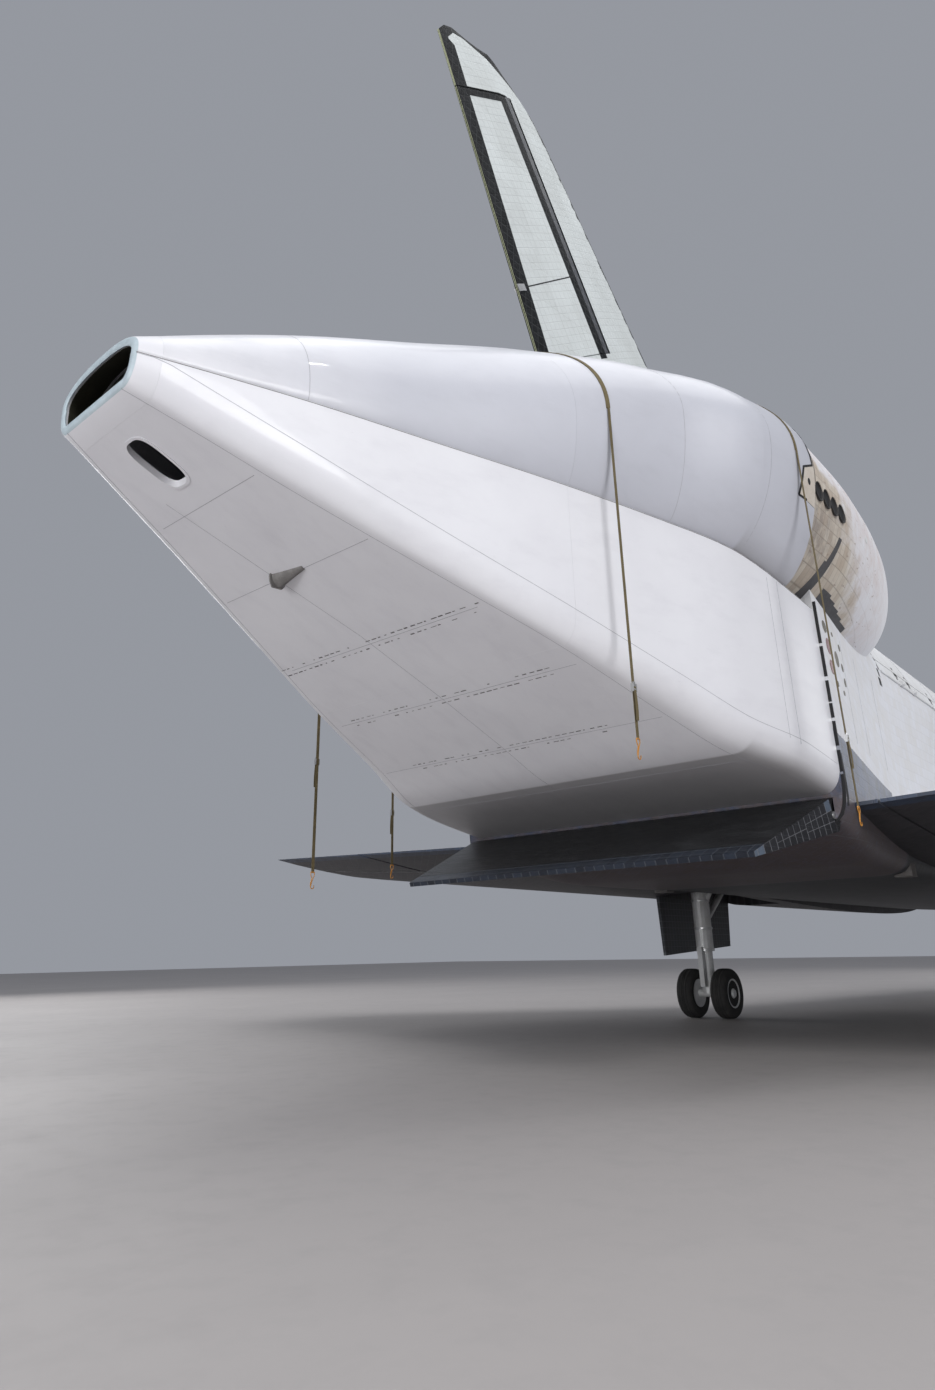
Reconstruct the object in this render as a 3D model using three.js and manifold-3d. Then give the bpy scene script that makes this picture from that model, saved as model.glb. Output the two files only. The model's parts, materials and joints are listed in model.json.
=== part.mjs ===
// Winged orbiter spacecraft with its tail cone fitted, standing on its landing gear, at half its real size.
// Every table below is in real inches: x runs aft from a datum ahead of the nose, y to starboard, z up.
// The last lines turn that frame so that the nose points to -Y, and scale it to millimetres.
import * as THREE from "three";
import { mergeVertices } from "three/addons/utils/BufferGeometryUtils.js";
import Module from "manifold-3d";

const wasm = await Module();
wasm.setup();

// Scale, datum and gaps
const MODEL_MM_PER_INCH = 12.7;
const NOSE_X = 235;
const CONE_END_X = 1890;
const GROUND_Z = 157;
const TOUCH_GAP = 0.035; // between pieces that bear on each other
const RUNNING_GAP = 0.5; // round a piece that moves
const CUT_MARGIN = 40; // how far a cutting solid reaches past what it cuts

// Fuselage joints along x
const NOSE_CAP_END = 262;
const THRUSTER_END = 376;
const THRUSTER_FLOOR_Z = 356;
const CABIN_FRONT = 402;
const CABIN_REAR = 568;
const PARTING_Z = 384; // joint between the upper and lower halves of the forward fuselage
const BAY_FRONT = 582;
const BAY_REAR = 1307;
const BASE_X = 1531;

// Payload bay and its doors
const BAY_RADIUS = 90;
const BAY_AXIS_Z = 400;
const DOOR_INNER_RADIUS = 95;
const SILL_Z = 419.6;
const DOOR_EDGE_Z = 420.5;
const DOOR_HINGE = { y: 104.4, z: 421.5, radius: 2 };

// Crew cabin
const CABIN_WALL = 5;
const GLASS_THICKNESS = 1.5;
const HATCH = { x: 507, z: 342, radius: 20, hingeRadius: 1.2, hingeHalf: 7, lugHalf: 1.5 };
const GLASS = { foot: 404, rear: 545 };
const DECK = { floorFoot: 400, floorTop: 403.5 };
const CONSOLE = { front: 426, rear: 440, half: 40, top: 436 };
const SEAT = { y: 26, front: 466, rear: 486, half: 10, top: 420 };
const SEAT_BACK = { front: 482, rear: 488, half: 9, top: 450 };

// Wing
const WING_HALF_SPAN = 468.3;
const WING_ROOT_Y = 96;
const DIHEDRAL = 0.0615;
const ELEVON_HINGE_X = 1387;
const ELEVON_INNER_Y = 139;
const ELEVON_SPLIT_Y = 312.5;
const HINGE_RIB = { half: 1.8, gap: 0.8, behind: 4 };
const ELEVON_INNER_GAP = 1.4;
const HINGE_LIPS = { above: 4.4, below: 1.8 }; // how far ahead of the hinge the wing's skins end
const LEADING_EDGE_DEPTH = 21;
const LEADING_EDGE_INNER_Y = 164;
const PIN_RADIUS = 2;

// Fin and rudder, from the profile of the fin at y = 0
const FIN_ROOT_Z = 492;
const FIN_TIP_Z = 835.7;
const FIN_ROOT_HALF = 12.5;
const FIN_TIP_HALF = 5.5;
const RUDDER = { foot: [1520, 647], head: [1628, 814] };
const RUDDER_SPAR_DEPTH = 6;
const RUDDER_END_GAP = 0.2; // between a half of the speed brake and the ends of the spar
const RUDDER_REACH = 160; // further behind the hinge than any part of the rudder
const BRAKE_ROD_RADIUS = 0.87;
const CHUTE_HOUSING = { front: 1480, rear: 1564, half: 17, foot: 514, top: 528 };

// Body flap, drooped as it rests
const FLAP = {
  hingeX: 1532, hingeZ: 284, noseRadius: 9, chord: 82, droop: 22.6, hingeHalf: 123.5, tipHalf: 111, edge: 2.6,
};

// Tail cone
const CONE_WALL = 3;
const CONE_SPLIT_X = 1711;
const RIM_FRONT_X = 1881;
const RIM_WALL = 5;
const FAIRING_FRONT_X = 1567.5;
const CORNER_DROP = 14;
const HATCH_SLOT = { front: 1852, rear: 1873, port: -6, starboard: 6 };
const FIN_NOTCH = { half: 14, rear: 1592 };
const VENT = { x: 1797, y: -3, length: 13, width: 16, height: 7 };

// Square pads of the three fittings under the hull that carry it on a launch tank or a carrier aircraft
const PADS = {
  forward: { x: 392, y: 0, half: 4, face: 270.6 },
  aft: { x: 1317, y: 96.5, half: 6, face: 265 },
};

// Landing gear
const NOSE_GEAR = {
  x: 378, wheelY: 9, tyreRadius: 16, tyreWidth: 8.8,
  axleRadius: 2, pistonRadius: 3.6, cylinderRadius: 5.6, cylinderAbove: 34,
};
const NOSE_BRACE = { reach: 52, above: 40, radius: 2.4 };
const NOSE_TRUNNION = { below: 8, radius: 3, clear: 2 };
const NOSE_LINK = { front: 4, rear: 9, half: 1.6, inset: 4, thickness: 3 };
const NOSE_DOOR = [[292, 281], [298, 258], [382, 250], [386, 276]];
const MAIN_GEAR = {
  x: 1173, y: 136, wheelY: 17.5, tyreRadius: 22.25, tyreWidth: 16,
  axleRadius: 3.4, pistonRadius: 6.5, cylinderRadius: 8.3, cylinderAbove: 38, lap: 2,
};
// Braces from the roof of the main well to the cylinder: start beside the leg, and end above the axle
const MAIN_BRACES = [
  { ahead: 74, inboard: 0, below: 4, above: 62, radius: 3.6 },
  { ahead: 0, inboard: 22, below: 3, above: 74, radius: 2.8 },
];
const MAIN_LINK = { front: 6, rear: 13, half: 2.4, inset: 6, thickness: 4 };
const MAIN_DOOR = [[1040, 280], [1048, 222], [1194, 214], [1200, 284]];
const NOSE_WELL = { front: 292, rear: 386, half: 26, roof: 312 };
const MAIN_WELL = { front: 1040, rear: 1200, inner: 109, outer: 167, roof: 296 };
const GEAR_DOOR_THICKNESS = 3;
const WHEEL_SIDES = 22;

// Straps hung over the tail cone, by the station of each
const STRAPS = [
  { name: "strap_rear", x: 1694, starboardEnd: 301, portEnd: 262 },
  { name: "strap_front", x: 1586, starboardEnd: 279, portEnd: 276 },
];
const STRAP_WIDTH = 2;
const STRAP_THICKNESS = 0.3;
const STRAP_HOOK = { width: 3, thickness: 1.2, length: 9 };

const FINISHES = {
  whiteBlanket: { color: 0xe9e8e4, roughness: 0.85, metalness: 0 },
  coneWhite: { color: 0xf1f1f2, roughness: 0.35, metalness: 0 },
  rimGrey: { color: 0xaebac4, roughness: 0.5, metalness: 0 },
  blackTile: { color: 0x2a2b2f, roughness: 0.7, metalness: 0 },
  greyEdge: { color: 0x6f6f70, roughness: 0.6, metalness: 0 },
  glass: { color: 0x20262c, roughness: 0.1, metalness: 0 },
  cabinGrey: { color: 0x8b8f92, roughness: 0.8, metalness: 0 },
  engineGrey: { color: 0x77736c, roughness: 0.5, metalness: 0.6 },
  gearSteel: { color: 0xb9bcc0, roughness: 0.4, metalness: 0.7 },
  rubber: { color: 0x1d1d1e, roughness: 0.9, metalness: 0 },
  webbing: { color: 0x6b655c, roughness: 0.9, metalness: 0 },
  hookOrange: { color: 0xc8662a, roughness: 0.5, metalness: 0.3 },
};

// Hull sections: station, half width, bottom, height of the widest point, top, and the roundness
// (exponent of a superellipse) of the upper and the lower half.
const HULL_COLUMNS = ["x", "half", "bottom", "waist", "top", "upper", "lower"];
const HULL = [
  [NOSE_X, 3, 336, 339, 342, 2, 2],
  [237, 9, 329, 339, 349, 2, 2],
  [242, 17, 321, 339, 357, 2, 2],
  [250, 25, 313, 339, 365, 2, 2.1],
  [262, 34.5, 304, 339, 374, 2, 2.2],
  [290, 50, 290, 340, 391, 2, 2.5],
  [330, 66, 280, 342, 409, 2, 3],
  [378, 81, 273, 346, 428, 2, 3.6],
  [404, 88, 270.5, 351, 452, 2.05, 4],
  [440, 95, 268.5, 359, 480, 2.1, 4.4],
  [480, 101, 267, 372, 495, 2.1, 5],
  [530, 104.3, 266, 388, 502.5, 2.05, 5.6],
  [BAY_FRONT, 105, 266, 400, 505, 2, 7],
  [700, 105, 266, 400, 505, 2, 12],
  [1200, 105, 266, 400, 505, 2, 16],
  [BAY_REAR, 105, 266, 400, 505, 2, 16],
  [1360, 109, 265, 402, 504, 2.4, 16],
  [1440, 118.5, 265.5, 404, 502, 3, 16],
  [1500, 126.5, 273, 404, 500, 3.6, 16],
  [BASE_X, 130, 277, 404, 500, 4, 16],
];
const HULL_POINTS = 32;

// Wing sections: span station, leading edge, half thickness and height of the leading edge.
const WING_COLUMNS = ["y", "leading", "half", "nose"];
const WING = [
  [WING_ROOT_Y, 520, 25, 283],
  [105, 566, 25, 283.5],
  [120, 660, 24.5, 284.5],
  [140, 778, 24, 286],
  [160, 897, 23, 287],
  [174, 985, 22, 288],
  [184, 1021, 21.5, 288.5],
  [200, 1036, 20.5, 289.5],
  [250, 1086, 18, 292.5],
  [ELEVON_SPLIT_Y, 1148.5, 15, 296.5],
  [380, 1216, 11.5, 300.5],
  [440, 1276, 8.5, 304.5],
  [460, 1300, 7.2, 306],
  [WING_HALF_SPAN, 1318, 5.5, 307],
];
// Chordwise places of the points of a wing section, as fractions of the chord
const WING_CHORD = [0, 0.006, 0.025, 0.07, 0.16, 0.32, 0.55, 0.8, 1];

// Fin profile: height, leading edge and trailing edge
const FIN_COLUMNS = ["z", "leading", "trailing"];
const FIN = [
  [FIN_ROOT_Z, 1309, 1549],
  [530, 1311, 1568],
  [552, 1319, 1578],
  [580, 1339, 1591.5],
  [817, 1576, 1699],
  [826, 1589, 1694],
  [832, 1606, 1686],
  [FIN_TIP_Z, 1628, 1668],
];
const FIN_CHORD = [0, 0.012, 0.05, 0.13, 0.27, 0.43, 0.6, 0.8, 1];

// Pod sections: station, inner and outer y, bottom and top z
const POD_LEAN = 30; // how far the top of a pod stands inboard of its middle
const POD_COLUMNS = ["x", "inner", "outer", "bottom", "top"];
const POD = [
  [1309, 74, 92, 462, 480],
  [1316, 64, 106, 444, 494],
  [1330, 55, 118, 428, 505],
  [1360, 45, 131, 412, 518],
  [1410, 36, 143, 403, 528],
  [1470, 31, 151, 399, 532],
  [1520, 29, 154, 397, 535],
  [FAIRING_FRONT_X - TOUCH_GAP, 29, 154, 397, 536],
];

// Tail cone sections: station, half width of the flat bottom, half width of the side, bottom, crease
// between side and fairing, half width and height of the fairing's widest point, its top, and the power
// that rounds its shoulders (1 for an ellipse).
const CONE_COLUMNS = ["x", "floor", "side", "bottom", "crease", "bulge", "bulgeZ", "top", "round"];
const CONE = [
  [BASE_X + TOUCH_GAP, 119, 130, 295, 399, 154, 464, 541, 0.9],
  [1568, 117, 129, 300.5, 402, 154, 466, 542, 0.9],
  [1612, 107, 120, 307, 412, 145.5, 471, 544, 1],
  [1652, 95, 107, 321.6, 416, 121.5, 474, 540, 1],
  [CONE_SPLIT_X, 80, 88, 343.2, 419, 95.5, 456, 523, 0.95],
  [1770, 60, 67.5, 364.8, 421, 70, 438, 498, 0.9],
  [1829, 40, 48, 386.4, 422, 48.8, 426, 469.5, 0.84],
  [1862, 30, 37, 398.5, 421.5, 37.4, 423, 451, 0.84],
  [CONE_END_X, 21, 28, 408.7, 420.5, 28.3, 421.5, 433, 0.84],
];
const CORNER_STEPS = 4;
const FAIRING_STEPS = 9;

// Windows of the cabin: stations and the angles above the waist, in degrees, of their edges
const WINDOW_COLUMNS = ["front", "rear", "low", "high"];
const WINDOWS = [
  [385, 419, 68, 87],
  [390, 428, 48, 64],
  [402, 442, 31, 44],
  [506, 532, 76, 87],
];

// Turns the rows of a table into objects with the column names as keys.
function named(columns, rows) {
  return rows.map((row) => Object.fromEntries(columns.map((key, i) => [key, row[i]])));
}

// Smooth values between the rows of a table, by a cubic through neighbouring rows.
function between(rows, key, value) {
  const last = rows.length - 1;
  let i = rows.findIndex((row) => row[key] >= value) - 1;
  if (i < -1) i = last - 1;
  i = Math.min(Math.max(i, 0), last - 1);
  const [a, b] = [rows[i], rows[i + 1]];
  const before = rows[Math.max(i - 1, 0)];
  const after = rows[Math.min(i + 2, last)];
  const span = b[key] - a[key];
  const t = (value - a[key]) / span;
  const result = {};
  for (const column of Object.keys(a)) {
    const startSlope = slopeAt(before, a, b, key, column) * span;
    const endSlope = slopeAt(a, b, after, key, column) * span;
    const rise = b[column] - a[column];
    result[column] = a[column] + t * (startSlope + t * (3 * rise - 2 * startSlope - endSlope
      + t * (startSlope + endSlope - 2 * rise)));
  }
  result[key] = value;
  return result;
}

// Slope of one column at the middle of three rows, flat at a peak, so that the cubic never overshoots.
function slopeAt(before, here, after, key, column) {
  const into = here === before ? null : (here[column] - before[column]) / (here[key] - before[key]);
  const out = here === after ? null : (after[column] - here[column]) / (after[key] - here[key]);
  if (into === null) return out;
  if (out === null) return into;
  return into * out <= 0 ? 0 : (2 * into * out) / (into + out);
}

const hullRows = named(HULL_COLUMNS, HULL);
const wingRows = named(WING_COLUMNS, WING);
const finRows = named(FIN_COLUMNS, FIN);
const podRows = named(POD_COLUMNS, POD);
const coneRows = named(CONE_COLUMNS, CONE);

// Straight-line values between the rows of a table.
function straight(rows, key, value) {
  const found = rows.findIndex((row) => row[key] >= value);
  const i = found < 0 ? rows.length - 1 : Math.max(found, 1);
  const [a, b] = [rows[i - 1], rows[i]];
  const t = (value - a[key]) / (b[key] - a[key]);
  const valueAt = (column) => THREE.MathUtils.lerp(a[column], b[column], t);
  return Object.fromEntries(Object.keys(a).map((column) => [column, valueAt(column)]));
}

// A closed solid from a geometry, its faces turned outwards whichever way it was drawn.
function solid(geometry) {
  const bare = geometry.clone();
  bare.deleteAttribute("normal");
  bare.deleteAttribute("uv");
  const merged = mergeVertices(bare, 1e-4);
  const vertProperties = new Float32Array(merged.attributes.position.array);
  const triVerts = new Uint32Array(merged.index.array);
  const corner = [new THREE.Vector3(), new THREE.Vector3(), new THREE.Vector3()];
  let volume = 0;
  for (let i = 0; i < triVerts.length; i += 3) {
    corner.forEach((point, k) => point.fromArray(vertProperties, 3 * triVerts[i + k]));
    volume += corner[0].dot(corner[1].cross(corner[2]));
  }
  if (volume < 0) triVerts.reverse();
  return new wasm.Manifold(new wasm.Mesh({ numProp: 3, vertProperties, triVerts }));
}

// A geometry from a solid.
function geometryOf(shape) {
  const mesh = shape.getMesh();
  const geometry = new THREE.BufferGeometry();
  geometry.setAttribute("position", new THREE.BufferAttribute(new Float32Array(mesh.vertProperties), 3));
  geometry.setIndex(new THREE.BufferAttribute(new Uint32Array(mesh.triVerts), 1));
  geometry.computeVertexNormals();
  return geometry;
}

// A skin through rings of [x, y, z] points, with a fan closing each end.
function loft(rings) {
  const count = rings[0].length;
  const centres = [rings[0], rings.at(-1)].map((ring) => [0, 1, 2].map(
    (axis) => ring.reduce((sum, point) => sum + point[axis], 0) / count));
  const positions = [...rings.flat(), ...centres].flat();
  const index = [];
  for (let r = 0; r + 1 < rings.length; r += 1) {
    for (let i = 0; i < count; i += 1) {
      const [a, b] = [r * count + i, r * count + ((i + 1) % count)];
      index.push(a, b, b + count, a, b + count, a + count);
    }
  }
  const foot = rings.length * count;
  const lastRing = foot - count;
  for (let i = 0; i < count; i += 1) {
    const next = (i + 1) % count;
    index.push(foot, next, i, foot + 1, lastRing + i, lastRing + next);
  }
  const geometry = new THREE.BufferGeometry();
  geometry.setAttribute("position", new THREE.Float32BufferAttribute(positions, 3));
  geometry.setIndex(index);
  return solid(geometry);
}

// A box between two corners.
function box([x0, y0, z0], [x1, y1, z1]) {
  const geometry = new THREE.BoxGeometry(x1 - x0, y1 - y0, z1 - z0);
  geometry.translate((x0 + x1) / 2, (y0 + y1) / 2, (z0 + z1) / 2);
  return solid(geometry);
}

// A round bar between two points, tapered if the radii differ.
function bar(from, to, startRadius, endRadius = startRadius, sides = 16) {
  const [start, end] = [new THREE.Vector3(...from), new THREE.Vector3(...to)];
  const along = end.clone().sub(start);
  const geometry = new THREE.CylinderGeometry(endRadius, startRadius, along.length(), sides);
  geometry.applyQuaternion(new THREE.Quaternion().setFromUnitVectors(
    new THREE.Vector3(0, 1, 0), along.clone().normalize()));
  geometry.translate(...start.add(end).multiplyScalar(0.5).toArray());
  return solid(geometry);
}

// An outline of [a, b] points drawn out along the third axis: "z" for a plan, "y" for a side view.
function prism(outline, axis, from, to) {
  const shape = new THREE.Shape(outline.map(([a, b]) => new THREE.Vector2(a, b)));
  const geometry = new THREE.ExtrudeGeometry(shape, { depth: to - from, bevelEnabled: false });
  geometry.translate(0, 0, from);
  if (axis === "y") geometry.rotateX(Math.PI / 2).scale(1, -1, 1);
  if (axis === "x") geometry.applyMatrix4(new THREE.Matrix4().makeBasis(
    new THREE.Vector3(0, 1, 0), new THREE.Vector3(0, 0, 1), new THREE.Vector3(1, 0, 0)));
  return solid(geometry);
}

// A body of revolution about a line along y, from a profile of [radius, y] points, with a flat below.
function turned(profile, x, z, segments) {
  const points = profile.map(([r, y]) => new THREE.Vector2(r, y));
  const geometry = new THREE.LatheGeometry(points, segments, Math.PI / segments);
  geometry.translate(x, 0, z);
  return solid(geometry);
}

function join(first, ...rest) {
  return rest.reduce((sum, shape) => sum.add(shape), first);
}

// The points of one hull section, grown outwards by a margin.
function hullRing(x, grow = 0) {
  const row = between(hullRows, "x", x);
  const ring = [];
  for (let i = 0; i < HULL_POINTS; i += 1) {
    const [c, s] = [Math.cos, Math.sin].map((f) => f((2 * Math.PI * i) / HULL_POINTS));
    const roundness = 2 / (s >= 0 ? row.upper : row.lower);
    const height = (s >= 0 ? row.top - row.waist : row.waist - row.bottom) + grow;
    ring.push([x, Math.sign(c) * Math.abs(c) ** roundness * (row.half + grow),
      row.waist + Math.sign(s) * Math.abs(s) ** roundness * height]);
  }
  return ring;
}

// The hull between two stations, with extra stations where it curves most.
function hull(from, to, grow = 0) {
  const stations = [from];
  for (const { x } of hullRows) if (x > from + 1 && x < to - 1) stations.push(x);
  stations.push(to);
  const fine = [];
  stations.forEach((x, i) => {
    fine.push(x);
    const next = stations[i + 1];
    if (next && next <= BAY_FRONT && next - x > 20) fine.push((x + next) / 2);
  });
  return loft(fine.map((x) => hullRing(x, grow)));
}

// One point on the hull at a station and an angle above the waist, on one side.
function hullPoint(x, degrees, side, grow) {
  const row = between(hullRows, "x", x);
  const angle = THREE.MathUtils.degToRad(degrees);
  const power = 2 / row.upper;
  return [x, side * Math.cos(angle) ** power * (row.half + grow),
    row.waist + Math.sin(angle) ** power * (row.top - row.waist + grow)];
}

// A cutter for one cabin window: its four corners, drawn from inside the wall to outside it.
function windowCutter({ front, rear, low, high }, side) {
  const corners = [[front, low], [front, high], [rear, high], [rear, low]];
  const ringAt = (grow) => corners.map(([x, degrees]) => hullPoint(x, degrees, side, grow));
  return loft([ringAt(-1.8 * CABIN_WALL), ringAt(CABIN_WALL)]);
}

// Trailing edge of the wing and its height, at a span station.
function wingTrail(y) {
  return { x: 1525.3 - 0.1763 * y, z: 296 + (y - 182) * DIHEDRAL };
}

// Half the thickness of a wing section at a fraction of its chord, as a share of the greatest.
function wingFullness(s) {
  const curve = 1.4845 * Math.sqrt(s) - 0.63 * s - 1.758 * s ** 2 + 1.4215 * s ** 3 - 0.5075 * s ** 4;
  return 2.03 * curve + 0.02 * s;
}

// The closed ring of one wing section.
function wingRing(y, side) {
  const row = straight(wingRows, "y", y);
  const trail = wingTrail(y);
  const point = (s, face) => [row.leading + s * (trail.x - row.leading), side * y,
    row.nose + s * (trail.z - row.nose) + face * row.half * wingFullness(s)];
  const above = WING_CHORD.map((s) => point(s, 1));
  const below = WING_CHORD.slice(1).reverse().map((s) => point(s, -1));
  return [...above, ...below];
}

// The whole wing of one side, elevons included.
function wingBlank(side) {
  return loft(wingRows.map((row) => wingRing(row.y, side)));
}

// Centre and half thickness of the wing on the elevon hinge, at a span station.
function hingeOf(y) {
  const row = straight(wingRows, "y", y);
  const trail = wingTrail(y);
  const s = (ELEVON_HINGE_X - row.leading) / (trail.x - row.leading);
  return { z: row.nose + s * (trail.z - row.nose), half: row.half * wingFullness(s) };
}

// The straight hinge line of the elevons and its radius at a span station.
const hingeInner = hingeOf(ELEVON_INNER_Y);
const hingeOuter = hingeOf(WING_HALF_SPAN);
function hingeLine(y) {
  const t = (y - ELEVON_INNER_Y) / (WING_HALF_SPAN - ELEVON_INNER_Y);
  const z = THREE.MathUtils.lerp(hingeInner.z, hingeOuter.z, t);
  const middle = hingeOf(y);
  return { z, radius: middle.half + Math.abs(middle.z - z) };
}

// Elevons: span stations of the ends and of the breaks in the round nose, and the gap to the rib at
// each end that has a pin.
const ribClear = HINGE_RIB.half + HINGE_RIB.gap;
const ELEVONS = [
  { name: "inboard", from: ELEVON_INNER_Y, to: ELEVON_SPLIT_Y - ribClear, breaks: [184],
    pins: [{ end: "from", gap: ELEVON_INNER_GAP }, { end: "to", gap: HINGE_RIB.gap }] },
  { name: "outboard", from: ELEVON_SPLIT_Y + ribClear, to: WING_HALF_SPAN + 1, breaks: [440, 460],
    pins: [{ end: "from", gap: HINGE_RIB.gap }] },
];

// A round nose on the elevon hinge between two span stations, with a margin on its radius.
function hingeNose({ from, to, breaks }, side, grow, sides) {
  const at = (y) => [ELEVON_HINGE_X, side * y, hingeLine(y).z];
  const radius = (y) => hingeLine(y).radius + grow;
  const stations = [from, ...breaks, to];
  const length = (start, end) => bar(at(start), at(end + 0.01), radius(start), radius(end), sides);
  return join(...stations.slice(1).map((end, i) => length(stations[i], end)));
}

// The space behind the hinge that an elevon fills.
function elevonSpace(row, side, grow, sides) {
  const [x0, x1] = [ELEVON_HINGE_X, ELEVON_HINGE_X + 4 * CUT_MARGIN];
  const [y0, y1] = side > 0 ? [row.from, row.to] : [-row.to, -row.from];
  return join(box([x0, y0, 200], [x1, y1, 400]), hingeNose(row, side, grow, sides));
}

// What an elevon needs cut from the wing: its own space with a gap, and the edges of the skins ahead of
// the hinge. The edge above stops further ahead, because the elevon turns further up than down.
function elevonRoom(row, side) {
  const fromGap = row.pins[0].gap;
  const toGap = row.pins.length > 1 ? row.pins[1].gap : 3;
  const wide = { ...row, from: row.from - fromGap, to: row.to + toGap };
  const edge = (ahead, rise) => loft([wide.from, wide.to].map((y) => {
    const { z } = hingeLine(y);
    return [[ELEVON_HINGE_X - ahead, z], [ELEVON_HINGE_X + 1, z], [ELEVON_HINGE_X + 1, z + rise],
      [ELEVON_HINGE_X - ahead, z + rise]].map(([x, height]) => [x, side * y, height]);
  }));
  return join(elevonSpace(wide, side, RUNNING_GAP + 0.1, 24), edge(HINGE_LIPS.above, CUT_MARGIN),
    edge(HINGE_LIPS.below, -CUT_MARGIN));
}

// One elevon: its share of the wing, with a round nose and a pin at each supported end.
function elevon(row, side) {
  let shape = wingBlank(side).intersect(elevonSpace(row, side, 0, 16));
  for (const { end, gap } of row.pins) {
    const outwards = end === "from" ? -1 : 1;
    const tip = row[end] + outwards * (gap - TOUCH_GAP);
    const root = row[end] - outwards * 3;
    shape = shape.add(bar([ELEVON_HINGE_X, side * root, hingeLine(root).z],
      [ELEVON_HINGE_X, side * tip, hingeLine(tip).z], PIN_RADIUS));
  }
  return shape;
}

// Plan of the reinforced leading edge, from its inner end to past the tip.
function leadingEdgePlan(side, grow) {
  const stations = [LEADING_EDGE_INNER_Y - grow, ...wingRows.map(({ y }) => y)
    .filter((y) => y > LEADING_EDGE_INNER_Y && y < 455), 462];
  const depth = LEADING_EDGE_DEPTH + grow;
  const rear = stations.map((y) => [straight(wingRows, "y", y).leading + depth, side * y]);
  return prism([...rear, [1180, side * 520], [880, side * 520], [880, side * stations[0]]], "z", 200, 400);
}

// The ring of one fin section.
function finRing(z) {
  const { leading, trailing } = straight(finRows, "z", z);
  const taper = (z - FIN_ROOT_Z) / (FIN_TIP_Z - FIN_ROOT_Z);
  const half = THREE.MathUtils.lerp(FIN_ROOT_HALF, FIN_TIP_HALF, taper);
  const edge = FIN_CHORD.map((s) => [leading + s * (trailing - leading), half * finFullness(s)]);
  const starboard = edge.map(([x, y]) => [x, y, z]);
  const port = edge.slice(1).reverse().map(([x, y]) => [x, -y, z]);
  return [...starboard, ...port];
}

// Half thickness of the fin along its chord: round in front, greatest at the hinge, then a straight taper.
function finFullness(s) {
  const peak = 0.6;
  if (s > peak) return 1 - 0.86 * ((s - peak) / (1 - peak));
  return Math.sqrt(1 - (1 - s / peak) ** 2);
}

// Where a height lies along the rudder hinge, and the fin's half thickness there.
function rudderAxis(t) {
  const [x, z] = [0, 1].map((i) => THREE.MathUtils.lerp(RUDDER.foot[i], RUDDER.head[i], t));
  const { leading, trailing } = straight(finRows, "z", z);
  const taper = (z - FIN_ROOT_Z) / (FIN_TIP_Z - FIN_ROOT_Z);
  const half = THREE.MathUtils.lerp(FIN_ROOT_HALF, FIN_TIP_HALF, taper);
  return { x, z, half: half * finFullness((x - leading) / (trailing - leading)) };
}

const rudderFoot = rudderAxis(0);
const rudderHead = rudderAxis(1);
const rudderLength = Math.hypot(rudderHead.x - rudderFoot.x, rudderHead.z - rudderFoot.z);
const rudderAlong = ["x", "z"].map((axis) => (rudderHead[axis] - rudderFoot[axis]) / rudderLength);
const rudderAft = [rudderAlong[1], -rudderAlong[0]];

// A place in the rudder's own plane: a distance up the hinge and a distance behind it.
function rudderPlace(up, behind) {
  return [rudderFoot.x + up * rudderAlong[0] + behind * rudderAft[0],
    rudderFoot.z + up * rudderAlong[1] + behind * rudderAft[1]];
}

// A block in the rudder's plane, between two distances up the hinge and two behind it.
function rudderBlock(low, high, front, rear, y0, y1) {
  return prism([rudderPlace(low, front), rudderPlace(low, rear), rudderPlace(high, rear),
    rudderPlace(high, front)], "y", y0, y1);
}

// A tapered bar beside the rudder hinge, with the radius and y worked out from the fin's thickness.
function rudderBar(low, high, behind, radiusOf, yOf) {
  const at = (up, y) => {
    const [x, z] = rudderPlace(up, behind);
    return [x, y, z];
  };
  const half = (up) => THREE.MathUtils.lerp(rudderFoot.half, rudderHead.half, up / rudderLength);
  return bar(at(low, yOf(half(low))), at(high, yOf(half(high))), radiusOf(half(low)), radiusOf(half(high)));
}

// The points of one tail cone section, inset by a wall: floor, rounded corner, side, then fairing.
function coneRing(x, inset = 0) {
  const row = between(coneRows, "x", x);
  const bottom = row.bottom + inset;
  const side = row.side - inset;
  const floor = Math.min(row.floor, side - 1);
  const half = [[0, bottom], [floor / 2, bottom], [floor, bottom]];
  const drop = Math.min(CORNER_DROP, row.crease - bottom - 1.5);
  for (let i = 1; i <= CORNER_STEPS; i += 1) {
    const angle = (i / CORNER_STEPS) * (Math.PI / 2);
    half.push([floor + (side - floor) * Math.sin(angle), bottom + drop * (1 - Math.cos(angle))]);
  }
  half.push([side, row.crease]);
  const bulge = row.bulge - inset;
  const middle = (row.crease + row.bulgeZ) / 2;
  half.push([side + (bulge - side) * 0.8, middle]);
  const height = row.top - inset - row.bulgeZ;
  for (let i = 0; i <= FAIRING_STEPS; i += 1) {
    const angle = (i / FAIRING_STEPS) * (Math.PI / 2);
    half.push([bulge * Math.cos(angle) ** row.round, row.bulgeZ + height * Math.sin(angle) ** row.round]);
  }
  half[half.length - 1][0] = 0;
  const port = half.slice(1, -1).reverse().map(([y, z]) => [-y, z]);
  return [...half, ...port].map(([y, z]) => [x, y, z]);
}

// The tail cone between two stations, inset by a wall.
function cone(from, to, inset = 0) {
  const seats = STRAPS.flatMap(({ x }) => [x - STRAP_WIDTH / 2, x + STRAP_WIDTH / 2]);
  const inner = [...coneRows.map(({ x }) => x), ...seats].filter((x) => x > from + 0.5 && x < to - 0.5);
  const stations = [from, ...inner.sort((a, b) => a - b), to];
  return loft(stations.map((x) => coneRing(x, inset)));
}

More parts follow.
